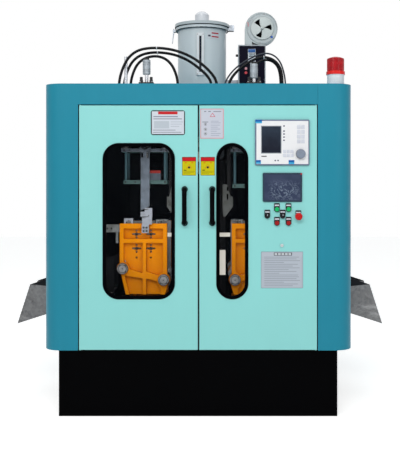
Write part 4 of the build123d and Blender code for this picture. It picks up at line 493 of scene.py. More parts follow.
# Rear service hatch: a flat sheet, painted as the cabinet, that lies on the rear panel below the
# air slots and is held by four screws.

hatch = slab("service_hatch", (-0.30, 0.30), (REAR + 0.0001, REAR + 0.0015), (0.46, 0.94), 0.0006)
wear_on(hatch, "cabinet", teal_paint)
hatch_spots = [(x, REAR + 0.0014, z) for x in (-0.28, 0.28) for z in (0.48, 0.92)]
screws("hatch_screws", hatch_spots, (0, 1, 0), 0.006, 0.0014, "cabinet", screw_steel)

# Dust filters: two mats of dark open-cell foam, cut from sheet with softened edges. They are held
# behind the air slots of the rear panel.

foam_dark, foam_tree, foam_shader = new_material("foam_dark", Roughness=0.95, Specular_IOR_Level=0.1)
foam_cells = add(foam_tree, "ShaderNodeTexVoronoi", {"Vector": own_place(foam_tree), "Scale": 240.0})
foam_pores = foam_cells.outputs["Distance"]
finish(foam_tree, foam_shader, blend(foam_tree, foam_pores, screen(8, 9, 11), screen(30, 32, 36)), None,
       emboss(foam_tree, foam_pores, 0.001, 0.6))
mats = [slab("mat", (x - 0.160, x + 0.160), (0.9405, 0.9466), (1.055, 1.455), 0.003) for x in (-0.42, 0.42)]
joined("dust_filters", mats, "cabinet", foam_dark)

# Product chutes: folded galvanised sheet, dull, with the spangle of hot zinc and rubbed floors.
# Flat rivets hold a stiffening strip along the lip.


def make_spangle():
    """Hot-dip zinc: crystals of several greys, white bloom and long rub marks."""
    tree, given, gives = new_group("zinc spangle", {
        "Light": (0.5, 0.5, 0.5, 1), "Dark": (0.3, 0.3, 0.3, 1), "Rub": 0.5})
    coords = own_place(tree)
    cells = add(tree, "ShaderNodeTexVoronoi", {"Vector": coords, "Scale": 75.0})
    split = add(tree, "ShaderNodeSeparateColor", {"Color": cells.outputs["Color"]})
    bloom = band(tree, noise(tree, coords, 7, 7, 0.65), 0.35, 0.7)
    grain = math_node(tree, "ADD", product(tree, split.outputs["Red"], 0.45), product(tree, bloom, 0.55))
    base = blend(tree, grain, given["Dark"], given["Light"])
    marks = band(tree, noise(tree, coords, 1.0, 6, 0.7, (3, 60, 9)), 0.55, 0.7)
    normal, _ = edge_mask(tree, 0.0012)
    finish(tree, gives, blend(tree, product(tree, marks, given["Rub"]), base, (0.72, 0.72, 0.72, 1)),
           band(tree, grain, 0.2, 0.8, 0.42, 0.62),
           emboss(tree, noise(tree, coords, 130, 5, 0.6), 0.0005, 0.18, normal))
    return tree


SPANGLE = make_spangle()


def zinc_sheet(name, light, dark, rub, soil_and_shade, **constants):
    """Galvanised sheet, darkened in its corners by dirt and painted shade where soil_and_shade is above
    nought.
    """
    material, tree, shader = new_material(name, **constants)
    zinc = effect(tree, SPANGLE, Light=screen(*light), Dark=screen(*dark), Rub=rub)
    colour = shaded_and_soiled(tree, zinc["Colour"], 0.05, soil_and_shade, (0.05, 0.045, 0.04, 1)) if soil_and_shade else zinc["Colour"]
    finish(tree, shader, colour, zinc["Roughness"], zinc["Normal"])
    return material


zinc_outer = zinc_sheet("zinc_sheet", (138, 138, 139), (84, 84, 86), 0.4, 0.5, Metallic=0.55)
# Inside the cabinet the chutes take a dark copy of the zinc as painted shade.
zinc_inner_shade = zinc_sheet("zinc_inner_shade", (36, 38, 42), (18, 19, 22), 0.05, 0.0, Metallic=0.4,
                        Specular_IOR_Level=0.1)
dress("product_chutes", zinc_outer, (zinc_inner_shade, lambda c, n: abs(c.x) < 0.8))
for side, label in SIDES:
    spots = []
    for step in range(4):
        run = 0.062 * step
        rise = 0.322 * run + 0.05 * step
        spots.append((side * (1.060 - run), -0.5385, 0.5075 + rise))
    screws(f"{label}_chute_rivets", spots, (0, -1, 0), 0.005, 0.002, "cabinet", zinc_outer, 0.3)

# Carriage rails: ground steel guides on dark-painted beds that stand on the deck. A dark folded lip
# closes the slot between the deck and the front sheet of the plinth, as painted shade of its inside.

rail_steel = bare_metal("rail_steel", (168, 170, 174), lines=(6, 320, 320), gloss=0.24)
dress("carriage_rails", rail_steel, (frame_paint, lambda c, n: c.z < 0.4795))
shade_lip = slab("deck_shade_lip", (-0.755, 0.755), (-0.9261, -0.9175), (0.3560, 0.3655), 0.0006)
wear_on(shade_lip, "cabinet", deck_paint)

# Clamp units: cast iron platens and carriages in orange machine paint on hard-chrome tie bars.
# Machined faces stay bare, and the paint is chipped to primer along the ribs.

MIDDLE = 0.327  # X of a clamp unit and of the blow station above it
BAR_AXES = ((0.447, 0.783), (0.208, 0.717))  # X and Z of the tie bars of one unit
# The red-brown that the corner effect lays in the pockets under the ribs is painted shade.
orange_paint = film_paint("orange_paint", (226, 138, 0), (120, 60, 20), mottle=0.3, wear=0.7, peel=0.4,
                          gloss=0.42, grain=95.0, soil_and_shade=0.9, reach=0.05, dirt_and_shade=screen(150, 46, 0),
                          Specular_IOR_Level=0.05)
machined = bare_metal("machined_face", (150, 152, 156), (320, 40, 320), gloss=0.3, stain=0.4)
bar_chrome = bare_metal("bar_chrome", (196, 199, 204), (420, 12, 420), 0.05, gloss=0.16, stain=0.2)
nut_steel = bare_metal("nut_steel", (138, 140, 144), (160, 60, 160), 0.2, 0.4, 0.7, metallic=0.6)
hook_steel = bare_metal("hook_steel", (132, 138, 149), (20, 300, 260), gloss=0.4, stain=0.4, metallic=0.6)
blacked = bare_metal("blacked_steel", (30, 31, 34), (120, 120, 120), gloss=0.4, metallic=0.5)
bolt_black = bare_metal("bolt_black", (9, 9, 11), (120, 120, 120), gloss=0.5, stain=0.2, metallic=0.1)
arm_steel = bare_metal("arm_steel", (118, 124, 126), (14, 200, 200), gloss=0.42, stain=0.8, metallic=0.7)


def near_bar(c, reach):
    """A face close to the axis of a tie bar."""
    return any(math.hypot(abs(c.x) - x, c.z - z) < reach for x, z in BAR_AXES)


for _, label in SIDES:
    dress(f"{label}_front_platen", orange_paint,
          (hook_steel, lambda c, n: c.y < -0.6502 or (c.z > 1.0455 and abs(c.x) > 0.38)),
          (machined, lambda c, n: n.y > 0.9 and c.y > -0.6052))
    dress(f"{label}_middle_platen", orange_paint,
          (machined, lambda c, n: n.y < -0.9 and c.y < -0.2648),
          (bar_chrome, lambda c, n: c.y > -0.218))
    dress(f"{label}_tie_bars", bar_chrome,
          (nut_steel, lambda c, n: near_bar(c, 0.0335) and c.y < -0.6495),
          (orange_paint, lambda c, n: 0.1799 < c.y < 0.2151 and not near_bar(c, 0.0225)),
          (machined, lambda c, n: -0.071 < c.y < 0.1801 and not near_bar(c, 0.0225)),
          (arm_steel, lambda c, n: c.z > 0.92))
    dress(f"{label}_carriage", orange_paint,
          (rail_steel, lambda c, n: c.z < 0.531),
          (machined, lambda c, n: near_bar(c, 0.0345) and (c.y < -0.121 or c.y > -0.079)))

# Fasteners of the clamp units: black socket screws in the hook, striker and mould slots, and set
# screws and rings on the nuts. Thin black strips on the face of the hook are a painted shadow of
# the gap at its jaw, and a plated grease nipple stands on each bar boss.

TO_FRONT = (0, -1, 0)
NUT_FACE = -0.6716  # front of the tie bar nuts
for side, label in SIDES:
    body = f"{label}_clamp"
    middle = side * MIDDLE
    hook_spots = [(middle - side * x, -0.6660, z) for x in (0.0035, 0.0205) for z in (1.003, 1.022)]
    screws(f"{label}_hook_screws", hook_spots, TO_FRONT, 0.0053, 0.006, body, bolt_black)
    # Thin black strips on the hook's face: a painted shadow of the gap at its jaw.
    gap_shadows = []
    for low, high, bottom, top in ((0.0095, 0.0300, 1.1255, 1.1295), (-0.0060, 0.0270, 1.0832, 1.0870),
                                   (0.0255, 0.0315, 1.0850, 1.0895), (0.0300, 0.0350, 1.0880, 1.0950)):
        x = sorted((middle - side * low, middle - side * high))
        gap_shadows.append(slab("gap", x, (-0.6704, -0.6699), (bottom, top), 0.0002))
    joined(f"{label}_hook_gap_shadows", gap_shadows, body, bolt_black)
    arm_spots = [(side * x, -0.628, 1.015) for x in (0.515, 0.539)]
    screws(f"{label}_arm_screws", arm_spots, TO_FRONT, 0.0055, 0.004, body, blacked)
    slot_spots = [(middle + x, -0.6242, z) for x in (-0.042, 0.042) for z in (0.898, 0.982)]
    screws(f"{label}_mould_bolts", slot_spots, TO_FRONT, 0.0092, 0.007, body, bolt_black, 0.5)
    nut_spots, rings, nipples = [], [], []
    for x, z in BAR_AXES:
        for step in range(4):
            angle = math.radians(45 + 90 * step)
            across, up = 0.0268 * math.cos(angle), 0.0268 * math.sin(angle)
            nut_spots.append((side * (x + across), NUT_FACE - 0.0002, z + up))
        rings += [loop("ring", (side * x, NUT_FACE - 0.0008, z), (0, 1, 0), 0.0226, 0.0023),
                  loop("ring", (side * x, NUT_FACE, z), (0, 1, 0), 0.0313, 0.0016),
                  round_bar("centre", (side * x, NUT_FACE - 0.0050, z), (side * x, NUT_FACE - 0.0060, z),
                            0.0042, 0.0002, 20)]
        foot = Vector((side * (x - 0.012), -0.628, z + 0.0335))
        neck, top = foot + Vector((0, 0, 0.006)), foot + Vector((0, 0, 0.012))
        nipples += [round_bar("nipple", foot, foot + Vector((0, 0, 0.007)), 0.0042, 0.0005, 6),
                    round_bar("nipple", neck, top, 0.0028, 0.0004, 16, tip=0.0016)]
    screws(f"{label}_nut_screws", nut_spots, TO_FRONT, 0.0028, 0.0015, body, blacked)
    joined(f"{label}_nut_rings", rings, body, blacked)
    joined(f"{label}_grease_nipples", nipples, body, screw_steel)

# Blow stations: steel beams in grey-green paint hung from the roof rails, each with an air cylinder,
# a hanging lock bar, a slotted bracket and a sliding beam that carries the blow pin.

beam_paint = film_paint("beam_paint", (86, 122, 122), (150, 152, 148), mottle=0.3, wear=0.7, peel=0.25,
                        gloss=0.42, grain=160.0, soil_and_shade=0.5)
lock_steel = bare_metal("lock_steel", (98, 109, 123), (280, 280, 10), gloss=0.36, stain=0.6, metallic=0.6)
bracket_steel = bare_metal("bracket_steel", (84, 89, 89), (40, 40, 30), gloss=0.45, stain=1.0, metallic=0.6)
rod_paint = film_paint("rod_paint", (80, 118, 130), (150, 156, 158), mottle=0.2, wear=0.6, peel=0.15,
                       gloss=0.3, soil_and_shade=0.4)
tube_alloy = bare_metal("tube_alloy", (150, 154, 158), (260, 260, 6), gloss=0.35)
valve_paint = film_paint("valve_paint", (92, 106, 122), (160, 160, 160), mottle=0.2, gloss=0.4)
valve_red = film_paint("valve_red", (172, 34, 26), (120, 110, 100), mottle=0.2, gloss=0.3)
sleeve_steel = bare_metal("sleeve_steel", (176, 183, 190), (220, 220, 30), gloss=0.4, stain=0.5,
                          metallic=0.35)
STATION_Y = -0.435  # axis of the air cylinders
# Heights on a sliding beam and on its rod, before the drop of the right one.
BEAM_FOOT, VALVE_FOOT, VALVE_TOP, GUIDE_TOP = 1.2995, 1.3402, 1.3575, 1.641
SLEEVE_FOOT, SLEEVE_TOP = 1.940, 2.0309
UP = (0, 0, 1)


def station(c):
    """Distance of a face from the axis of its blow station, in plan."""
    return math.hypot(abs(c.x) - MIDDLE, c.y - STATION_Y)


def at_valve(c):
    """A face of the valve block in front of the sliding beam."""
    return c.y < -0.478 and station(c) > 0.03 and abs(abs(c.x) - MIDDLE) < 0.095


dress("blow_frames", beam_paint,
      (lock_steel, lambda c, n: c.y < -0.5299),
      (frame_paint, lambda c, n: abs(c.x) < 0.1835 and c.y < -0.521 and 1.274 < c.z < 1.467),
      (bracket_steel, lambda c, n: abs(c.x) < 0.199 and c.y < -0.521 and c.z < 1.275),
      (frame_paint, lambda c, n: 1.489 < c.z < 1.771 and station(c) > 0.09),
      (tube_alloy, lambda c, n: c.z > 1.4885 and station(c) < 0.0405 and c.z < 1.865),
      (blacked, lambda c, n: c.z > 1.863))
for side, label in SIDES:
    drop = 0.023 if side > 0 else 0.0
    dress(f"{label}_blow_slide", beam_paint,
          (bar_chrome, lambda c, n: c.z > 1.3578 - drop or station(c) < 0.0125),
          (rod_paint, lambda c, n: (BEAM_FOOT < c.z + drop < GUIDE_TOP and 0.115 < station(c) < 0.16
                                    and abs(n.z) < 0.5)),
          (blacked, lambda c, n: c.z + drop > SLEEVE_TOP),
          (sleeve_steel, lambda c, n: SLEEVE_FOOT < c.z + drop < SLEEVE_TOP and station(c) > 0.0115),
          (machined, lambda c, n: c.z + drop < 1.2755),
          (valve_paint, lambda c, n: BEAM_FOOT < c.z + drop < VALVE_FOOT and at_valve(c)),
          (valve_red, lambda c, n: VALVE_FOOT < c.z + drop < VALVE_TOP and at_valve(c)))
    body = f"{label}_blow"
    middle = side * MIDDLE
    rods = [(middle + x, y) for x in (-0.117, 0.117) for y in (-0.510, -0.360)]
    rod_spots = [(*rod, GUIDE_TOP - 0.001 - drop) for rod in rods]
    screws(f"{label}_guide_screws", rod_spots, UP, 0.0052, 0.004, body, blacked)
    collars = [round_bar("collar", (*rod, 1.488), (*rod, top), radius, 0.001)
               for rod in rods for top, radius in ((1.510, 0.0165), (1.4935, 0.0235))]
    joined(f"{label}_guide_bushes", collars, "cabinet", nut_steel)
    beam_spots = [(middle + x, -0.530, 1.478) for x in (-0.125, -0.095, 0.095, 0.125)]
    screws(f"{label}_beam_screws", beam_spots, TO_FRONT, 0.0048, 0.004, "cabinet", blacked)
    slide_spots = [(middle + x, -0.526, 1.2875 - drop) for x in (-0.118, -0.06, 0.118)]
    screws(f"{label}_slide_screws", slide_spots, TO_FRONT, 0.0052, 0.004, body, blacked)
    cap_spots = [(middle + x, STATION_Y + y, 1.892) for x in (-0.036, 0.036) for y in (-0.036, 0.036)]
    screws(f"{label}_cap_screws", cap_spots, UP, 0.0045, 0.005, "cabinet", screw_steel)
    rings = [loop("ring", (middle, STATION_Y, z - drop), UP, 0.0236, 0.0009)
             for z in (1.962, 1.972, 2.004, 2.014)]
    joined(f"{label}_sleeve_rings", rings, body, nut_steel)

# Extruder: a heated steel barrel on the centre line with a geared drive behind and a die in front.
# Its band heaters are thin bright sheet, discoloured by heat, each with a small terminal cover.

dress("extruder_barrel", bare_metal("barrel_steel", (120, 118, 116), (220, 18, 220), gloss=0.4, stain=0.6))
dress("heater_bands", bare_metal("band_sheet", (176, 172, 160), (60, 60, 60), gloss=0.28, stain=0.7))
dress("die_head", bare_metal("die_steel", (96, 92, 88), (200, 200, 20), gloss=0.42, stain=0.8))
dress("drive_unit", film_paint("drive_paint", (92, 102, 112), (60, 60, 60), mottle=0.2, peel=0.4, gloss=0.4,
                               grain=120.0, soil_and_shade=0.7))
dress("extruder_screw", bar_chrome)
covers = [slab("cover", (-0.014, 0.014), (y - 0.013, y + 0.013), (1.7162, 1.738), 0.002)
          for y in (-0.300, -0.235, -0.125, -0.060)]
joined("band_terminals", covers, "cabinet", blacked)

# Hopper dryer: a spun sheet drum in light grey enamel with a flat lid and a domed vent cap.
# The slide gate and the lid latch are bare steel, and the level glass has a white frame.

DRUM_Y = 0.05  # axis of the drum
enamel = film_paint("hopper_enamel", (204, 215, 220), (120, 120, 120), mottle=0.1, wear=0.3, peel=0.2,
                    gloss=0.3, grain=240.0, soil_and_shade=0.5, Coat_Weight=0.25)
lid_enamel = film_paint("lid_enamel", (186, 196, 200), (130, 130, 128), mottle=0.12, wear=0.5, gloss=0.28,
                        soil_and_shade=0.4, Coat_Weight=0.25)
cap_white = film_paint("cap_white", (214, 218, 224), (150, 150, 150), wear=0.2, gloss=0.24, soil_and_shade=0.3,
                       Coat_Weight=0.4)
latch_steel = bare_metal("latch_steel", (128, 134, 142), (40, 300, 40), gloss=0.3, stain=0.4)
dress("hopper_body", enamel,
      (latch_steel, lambda c, n: math.hypot(c.x, c.y - DRUM_Y) > 0.178 and c.x < 0.22))
dress("hopper_lid", lid_enamel, (cap_white, lambda c, n: c.z > 2.3375),
      (latch_steel, lambda c, n: math.hypot(c.x, c.y - DRUM_Y) > 0.183))
dress("slide_gate", latch_steel)
dress("lid_latch", latch_steel)
sight_white = film_paint("sight_white", (224, 228, 232), (160, 160, 160), mottle=0.1, gloss=0.3)


def own_axes(tree):
    """The three coordinates of the part's own frame, one by one."""
    return add(tree, "ShaderNodeSeparateXYZ", {"Vector": own_place(tree)}).outputs


sight_dark, tree, shader = new_material("sight_glass_tube", Roughness=0.12, Specular_IOR_Level=0.15)
grains = add(tree, "ShaderNodeTexVoronoi", {"Vector": own_place(tree), "Scale": 260.0})
granules = grains.outputs["Distance"]
filled = band(tree, own_axes(tree)["Z"], 2.088, 2.092)
pellets = blend(tree, band(tree, granules, 0.1, 0.7), screen(84, 92, 104), screen(22, 24, 32))
finish(tree, shader, blend(tree, filled, pellets, screen(30, 34, 46)), None,
       emboss(tree, product(tree, granules, 0.4), 0.0004, 0.2))
dress("sight_glass", sight_white,
      (sight_dark, lambda c, n: abs(c.x + 0.007) < 0.0074 and c.y < -0.1105 and 2.0035 < c.z < 2.2385))
sight_spots = [(-0.007 + x, -0.1202, z) for x in (-0.018, 0.018) for z in (1.990, 2.248)]
screws("sight_screws", sight_spots, TO_FRONT, 0.0035, 0.0022, "cabinet", screw_steel)

# Fittings of the lid: a rolled bead round its rim, black sponge seals above and below the drum ring,
# set at the shadow lines under the lid rim and the ring as painted shadow, and a printed film label
# with two red bars that follows the curve of the drum.


def hoop(name, z, ring, wire):
    """Bead round the drum."""
    return loop(name, (0, DRUM_Y, z), UP, ring, wire)


def curved(name, low, high, z, radius, thickness):
    """Film that follows the drum between two angles from its front, in degrees."""
    clear_selection()
    bpy.ops.mesh.primitive_grid_add(x_subdivisions=8, y_subdivisions=1, size=1, location=(0, 0, 0))
    film = bpy.context.object
    for vertex in film.data.vertices:
        angle = math.radians(low + (high - low) * (vertex.co.x + 0.5))
        height = z[0] + (z[1] - z[0]) * (vertex.co.y + 0.5)
        vertex.co = (radius * math.sin(angle), DRUM_Y - radius * math.cos(angle), height)
    body = film.modifiers.new("thickness", "SOLIDIFY")
    body.thickness = thickness
    body.offset = 1
    bpy.ops.object.modifier_apply(modifier="thickness")
    return freeze(name)


seal_shadow_black = film_paint("seal_shadow_rubber", (44, 47, 52), (60, 62, 66), mottle=0.3, wear=0.1, peel=0.6, gloss=0.8,
                    grain=500.0, Specular_IOR_Level=0.1)
label_pale = film_paint("label_pale", (206, 212, 218), (190, 190, 190), mottle=0.1, gloss=0.35)
label_crimson = film_paint("label_crimson", (176, 26, 48), (150, 60, 70), mottle=0.15, gloss=0.35)
label_ink = film_paint("label_ink", (62, 66, 84), (110, 112, 120), mottle=0.2, gloss=0.35)
wear_on(hoop("lid_bead", 2.3205, 0.1795, 0.0022), "lid", lid_enamel)
wear_on(hoop("vent_bead", 2.3400, 0.0475, 0.0030), "lid", cap_white)
wear_on(hoop("drum_seam", 1.883, 0.1612, 0.0016), "cabinet", enamel)
# Black beads at the shadow lines under the lid rim and the drum ring: painted shadow.
shadow_beads = [hoop("bead", 2.2955, 0.1730, 0.0030), hoop("bead", 2.3165, 0.1775, 0.0034)]
joined("drum_seal_shadows", shadow_beads, "cabinet", seal_shadow_black)
wear_on(curved("drum_label", 14.0, 44.0, (2.2240, 2.2730), 0.1614, 0.0004), "cabinet", label_pale)
bars = [curved("bar", 24.0, 43.0, z, 0.1618, 0.0003) for z in ((2.2560, 2.2640), (2.2330, 2.2410))]
joined("drum_label_bars", bars, "cabinet", label_crimson)
wear_on(curved("drum_label_mark", 15.5, 21.5, (2.2360, 2.2470), 0.1618, 0.0003), "cabinet", label_ink)

# Blower and heater box: a cast alloy scroll with an air damper on a sheet box with dark controls.
# The instrument has a blue head and a lit display, and two red lamps sit beside it.

FAN_X, FAN_Z = 0.399, 2.305  # axis of the wheel and of the damper
scroll_cast = film_paint("scroll_cast", (170, 179, 182), (190, 190, 188), mottle=0.2, wear=0.6, peel=0.35,
                         gloss=0.42, grain=210.0, soil_and_shade=0.7, Metallic=0.25)
damper_cast = film_paint("damper_cast", (174, 182, 182), (190, 190, 188), mottle=0.15, wear=0.6, peel=0.2,
                         gloss=0.36, grain=260.0, soil_and_shade=0.7, Metallic=0.25)
# Near-black for the hollow in which the wheel turns: painted shade.
hollow_shade_black = film_paint("hollow_shade_black", (20, 21, 22), (40, 40, 40), mottle=0.2, gloss=0.6)
wheel_black = film_paint("wheel_black", (24, 25, 26), (60, 60, 60), mottle=0.2, gloss=0.5)
motor_paint = film_paint("motor_paint", (112, 122, 128), (160, 160, 160), mottle=0.15, peel=0.3, gloss=0.4,
                         soil_and_shade=0.7)
box_grey = film_paint("box_grey", (186, 192, 198), (120, 120, 120), mottle=0.1, gloss=0.35)
box_navy = film_paint("box_navy", (10, 8, 28), (64, 62, 74), mottle=0.3, wear=0.3, gloss=0.3,
                      Specular_IOR_Level=0.04)


def in_scroll(c, n):
    """Faces of the hollow in which the wheel turns."""
    x, z = c.x - FAN_X, c.z - FAN_Z
    return -0.0112 < c.y < 0.0712 and math.hypot(x, z) < 0.1035 and x * n.x + z * n.z < 0.001


dress("blower_housing", scroll_cast, (hollow_shade_black, in_scroll))
dress("damper_disc", damper_cast)
dress("impeller", wheel_black)
dress("blower_motor", motor_paint)
dress("heater_box", box_grey,
      (box_navy, lambda c, n: n.y < -0.9 and c.y < -0.017 and 0.247 < c.x < 0.416 and 1.872 < c.z < 2.190))


def scaled(colour, share, lift=0.0):
    """Lighter or darker version of a colour."""
    return (*(min(1.0, share * value + lift) for value in colour[:3]), 1)


def moulded(name, colour, gloss=0.32, leather=0.1, **constants):
    """Moulded plastic with a fine texture, softened edges, rubbed patches, a painted highlight on its edges
    and painted shade in its corners.
    """
    constants.setdefault("Specular_IOR_Level", 0.25)
    material, tree, shader = new_material(name, **constants)
    colour = screen(*colour)
    coords = own_place(tree)
    normal, edges = edge_mask(tree, 0.0009)
    patches = noise(tree, coords, 24, 5, 0.6)
    tone = toned(tree, colour, band(tree, patches, 0.3, 0.7, 0.95, 1.06))
    # The edges are blended to a lighter copy of the colour as a painted highlight, the corners to a darker
    # copy as painted shade.
    lit = blend(tree, product(tree, edges, 0.3), tone, scaled(colour, 1.6, 0.01))
    finish(tree, shader, shaded_and_soiled(tree, lit, 0.012, 0.3, scaled(colour, 0.35)),
           band(tree, patches, 0.3, 0.75, gloss - 0.05, gloss + 0.12),
           emboss(tree, noise(tree, coords, 900.0, 2, 0.5), 0.0003, leather, normal))
    return material


def blocks(name, columns, rows, wide, high, y, bevel):
    """Equal slabs, with their lower left corners in columns and rows."""
    return [slab(name, (x, x + wide), y, (z, z + high), bevel) for z in rows for x in columns]


unit_white = moulded("unit_white", (222, 226, 232), 0.35)
unit_blue = moulded("unit_blue", (34, 92, 160), 0.3)
unit_dark = moulded("unit_dark", (26, 30, 38), 0.15)
lamp_red = moulded("lamp_red", (226, 74, 84), 0.15, 0.02, Coat_Weight=0.6, Transmission_Weight=0.1)
lamp_pale = moulded("lamp_pale", (214, 150, 158), 0.15, 0.02, Coat_Weight=0.6)
lit_digit = moulded("lit_digit", (206, 218, 226), 0.3, Emission_Color=screen(190, 214, 226),
                    Emission_Strength=0.4)
tag_blue = moulded("tag_blue", (52, 104, 196), 0.35)
mark_pink = moulded("mark_pink", (226, 150, 156), 0.35)
dress("dryer_controls", unit_white,
      (lamp_pale, lambda c, n: c.x < 0.303 and c.y < -0.018 and 2.028 < c.z < 2.048),
      (lamp_red, lambda c, n: c.x < 0.303 and c.y < -0.018 and 2.000 < c.z < 2.020),
      (blacked, lambda c, n: c.x < 0.2412))
UNIT_FACE = -0.0272  # just behind the front of the instrument
for name, x, y, z, bevel, material, slot in (
        ("unit_head", (0.3065, 0.3535), (-0.0288, UNIT_FACE), (2.144, 2.1655), 0.0006, unit_blue, "control"),
        ("unit_display", (0.3105, 0.3495), (-0.0286, UNIT_FACE), (2.116, 2.141), 0.0006, unit_dark,
         "control"),
        ("box_label", (0.262, 0.300), (-0.0189, -0.0183), (1.884, 1.893), 0.0003, unit_white, None),
        ("blower_tag", (0.4545, 0.4690), (-0.0166, -0.0154), (2.2410, 2.2550), 0.0004, tag_blue, None),
        ("blower_mark", (0.3010, 0.3110), (-0.0166, -0.0156), (2.3180, 2.3460), 0.0003, mark_pink, None)):
    wear_on(slab(name, x, y, z, bevel), "cabinet", material)
columns = (0.3135, 0.3233, 0.3331, 0.3429)
keys = blocks("key", columns, (2.0800,), 0.0062, 0.0060, (-0.0290, UNIT_FACE), 0.0007)
keys += blocks("key", columns, (2.0950,), 0.0062, 0.0022, (-0.0284, UNIT_FACE), 0.0004)
joined("unit_keys", keys, "cabinet", unit_blue)
digits = blocks("digit", (0.3135, 0.3223, 0.3311, 0.3399), (2.1305, 2.1200), 0.0050, 0.0066,
                (-0.0290, -0.0284), 0.0004)
joined("unit_digits", digits, "cabinet", lit_digit)
box_spots = [(x, -0.0200, z) for x in (0.2445, 0.4185) for z in (1.880, 2.031, 2.182)]
screws("box_screws", box_spots, TO_FRONT, 0.0028, 0.0016, "cabinet", screw_steel)
rim_spots = []
for step in range(6):
    angle = math.radians(20 + 60 * step)
    rim_spots.append((FAN_X + 0.094 * math.cos(angle), -0.0152, FAN_Z + 0.094 * math.sin(angle)))
screws("scroll_screws", rim_spots, TO_FRONT, 0.0038, 0.003, "cabinet", screw_steel)
rolled = loop("scroll_edge", (FAN_X, -0.0152, FAN_Z), (0, 1, 0), 0.0992, 0.0026)
wear_on(rolled, "cabinet", scroll_cast)
hub = round_bar("damper_nut", (FAN_X, -0.0312, FAN_Z), (FAN_X, -0.0237, FAN_Z), 0.0105, 0.0008, 6)
wear_on(hub, "cabinet", damper_cast)

# Beacon: a moulded red base on a pale foot under a ribbed clear red lens.
# A curved reflector turns round the small bulb inside.

beacon_red = moulded("beacon_red", (226, 20, 14), 0.3, 0.05, Coat_Weight=0.15)
beacon_foot = moulded("beacon_foot", (230, 236, 242), 0.35)
bulb_glass = moulded("bulb_glass", (250, 206, 150), 0.1, 0.02, Emission_Color=screen(255, 160, 90),
                     Emission_Strength=0.5)
dress("beacon_base", beacon_red, (beacon_foot, lambda c, n: c.z < 1.8835),
      (bulb_glass, lambda c, n: c.z > 1.915))
dress("beacon_reflector", bare_metal("mirror_finish", (236, 238, 240), (8, 8, 200), 0.03, 0.08, 0.05, 0.1))
lens_red, tree, shader = new_material("lens_red", Roughness=0.08, IOR=1.49, Transmission_Weight=0.06,
                                      Coat_Weight=0.08, Specular_IOR_Level=0.12,
                                      Emission_Color=screen(255, 20, 24), Emission_Strength=0.03)
cloud = band(tree, noise(tree, own_place(tree), 30, 4, 0.6), 0.3, 0.7)
finish(tree, shader, blend(tree, cloud, screen(196, 22, 34), screen(150, 10, 22)), None,
       emboss(tree, noise(tree, own_place(tree), 1.0, 3, 0.5, (60, 60, 420)), 0.0004, 0.25))
dress("beacon_lens", lens_red)

# Air hoses: black rubber hoses and one thin grey tube, each arched over the roof from gland to gland.
# They leave and re-enter the roof upright, tied together with white cable ties.


def hose_cover(name, colour, gloss, pitch):
    """Extruded rubber with moulding lines, scuffs and a dusty bloom."""
    material, tree, shader = new_material(name, Specular_IOR_Level=0.14)
    colour = screen(*colour)
    pale = scaled(colour, 2.2, 0.01)
    coords = own_place(tree)
    scuff = band(tree, noise(tree, coords, 46, 6, 0.7), 0.48, 0.72)
    dust = band(tree, noise(tree, coords, 6, 4, 0.6), 0.4, 0.75, 0.0, 0.35)
    worn = blend(tree, product(tree, scuff, 0.35), colour, pale)
    finish(tree, shader, blend(tree, dust, worn, pale), band(tree, scuff, 0.0, 1.0, gloss, gloss + 0.25),
           emboss(tree, noise(tree, coords, pitch, 3, 0.6), 0.0005, 0.3))
    return material


rubber_hose = hose_cover("hose_rubber", (9, 10, 13), 0.26, 420)
grey_hose = hose_cover("hose_grey", (50, 54, 62), 0.3, 300)
HOSES = {
    "outer_hose": (0.923, 0.0085, -0.385, rubber_hose, [
        (-0.503, 1.842), (-0.503, 1.902), (-0.482, 1.984), (-0.445, 2.056), (-0.388, 2.100), (-0.312, 2.115),
        (-0.228, 2.113), (-0.148, 2.098), (-0.066, 2.066), (0.004, 2.020), (0.063, 1.966), (0.104, 1.906),
        (0.104, 1.842)]),
    "inner_hose": (0.843, 0.0085, -0.336, rubber_hose, [
        (-0.478, 1.842), (-0.478, 1.900), (-0.458, 1.975), (-0.425, 2.040), (-0.374, 2.079), (-0.306, 2.095),
        (-0.228, 2.093), (-0.152, 2.078), (-0.078, 2.046), (-0.016, 2.002), (0.038, 1.955), (0.070, 1.903),
        (0.070, 1.842)]),
    "short_hose": (0.624, 0.0085, -0.308, rubber_hose, [
        (-0.440, 1.842), (-0.440, 1.902), (-0.424, 1.970), (-0.396, 2.028), (-0.350, 2.064), (-0.288, 2.078),
        (-0.230, 2.066), (-0.186, 2.030), (-0.159, 1.978), (-0.142, 1.914), (-0.142, 1.842)]),
    "right_hose": (0.619, 0.0085, -0.360, rubber_hose, [
        (0.172, 1.842), (0.172, 1.894), (0.198, 1.944), (0.240, 1.988), (0.290, 2.024), (0.336, 2.050),
        (0.382, 2.062), (0.425, 2.057), (0.463, 2.036), (0.490, 2.002), (0.503, 1.956), (0.507, 1.900),
        (0.507, 1.842)]),
    "grey_tube": (0.687, 0.0050, -0.360, grey_hose, [
        (0.146, 1.842), (0.146, 1.892), (0.174, 1.946), (0.216, 1.994), (0.272, 2.034), (0.334, 2.068),
        (0.398, 2.088), (0.452, 2.076), (0.492, 2.036), (0.514, 1.976), (0.526, 1.908), (0.526, 1.842)]),
    "arch_hose": (0.504, 0.0070, -0.336, rubber_hose, [
        (0.315, 1.842), (0.315, 1.918), (0.322, 1.970), (0.336, 2.008), (0.359, 2.033), (0.390, 2.047),
        (0.424, 2.047), (0.455, 2.033), (0.478, 2.008), (0.491, 1.970), (0.497, 1.912), (0.497, 1.842)]),
}
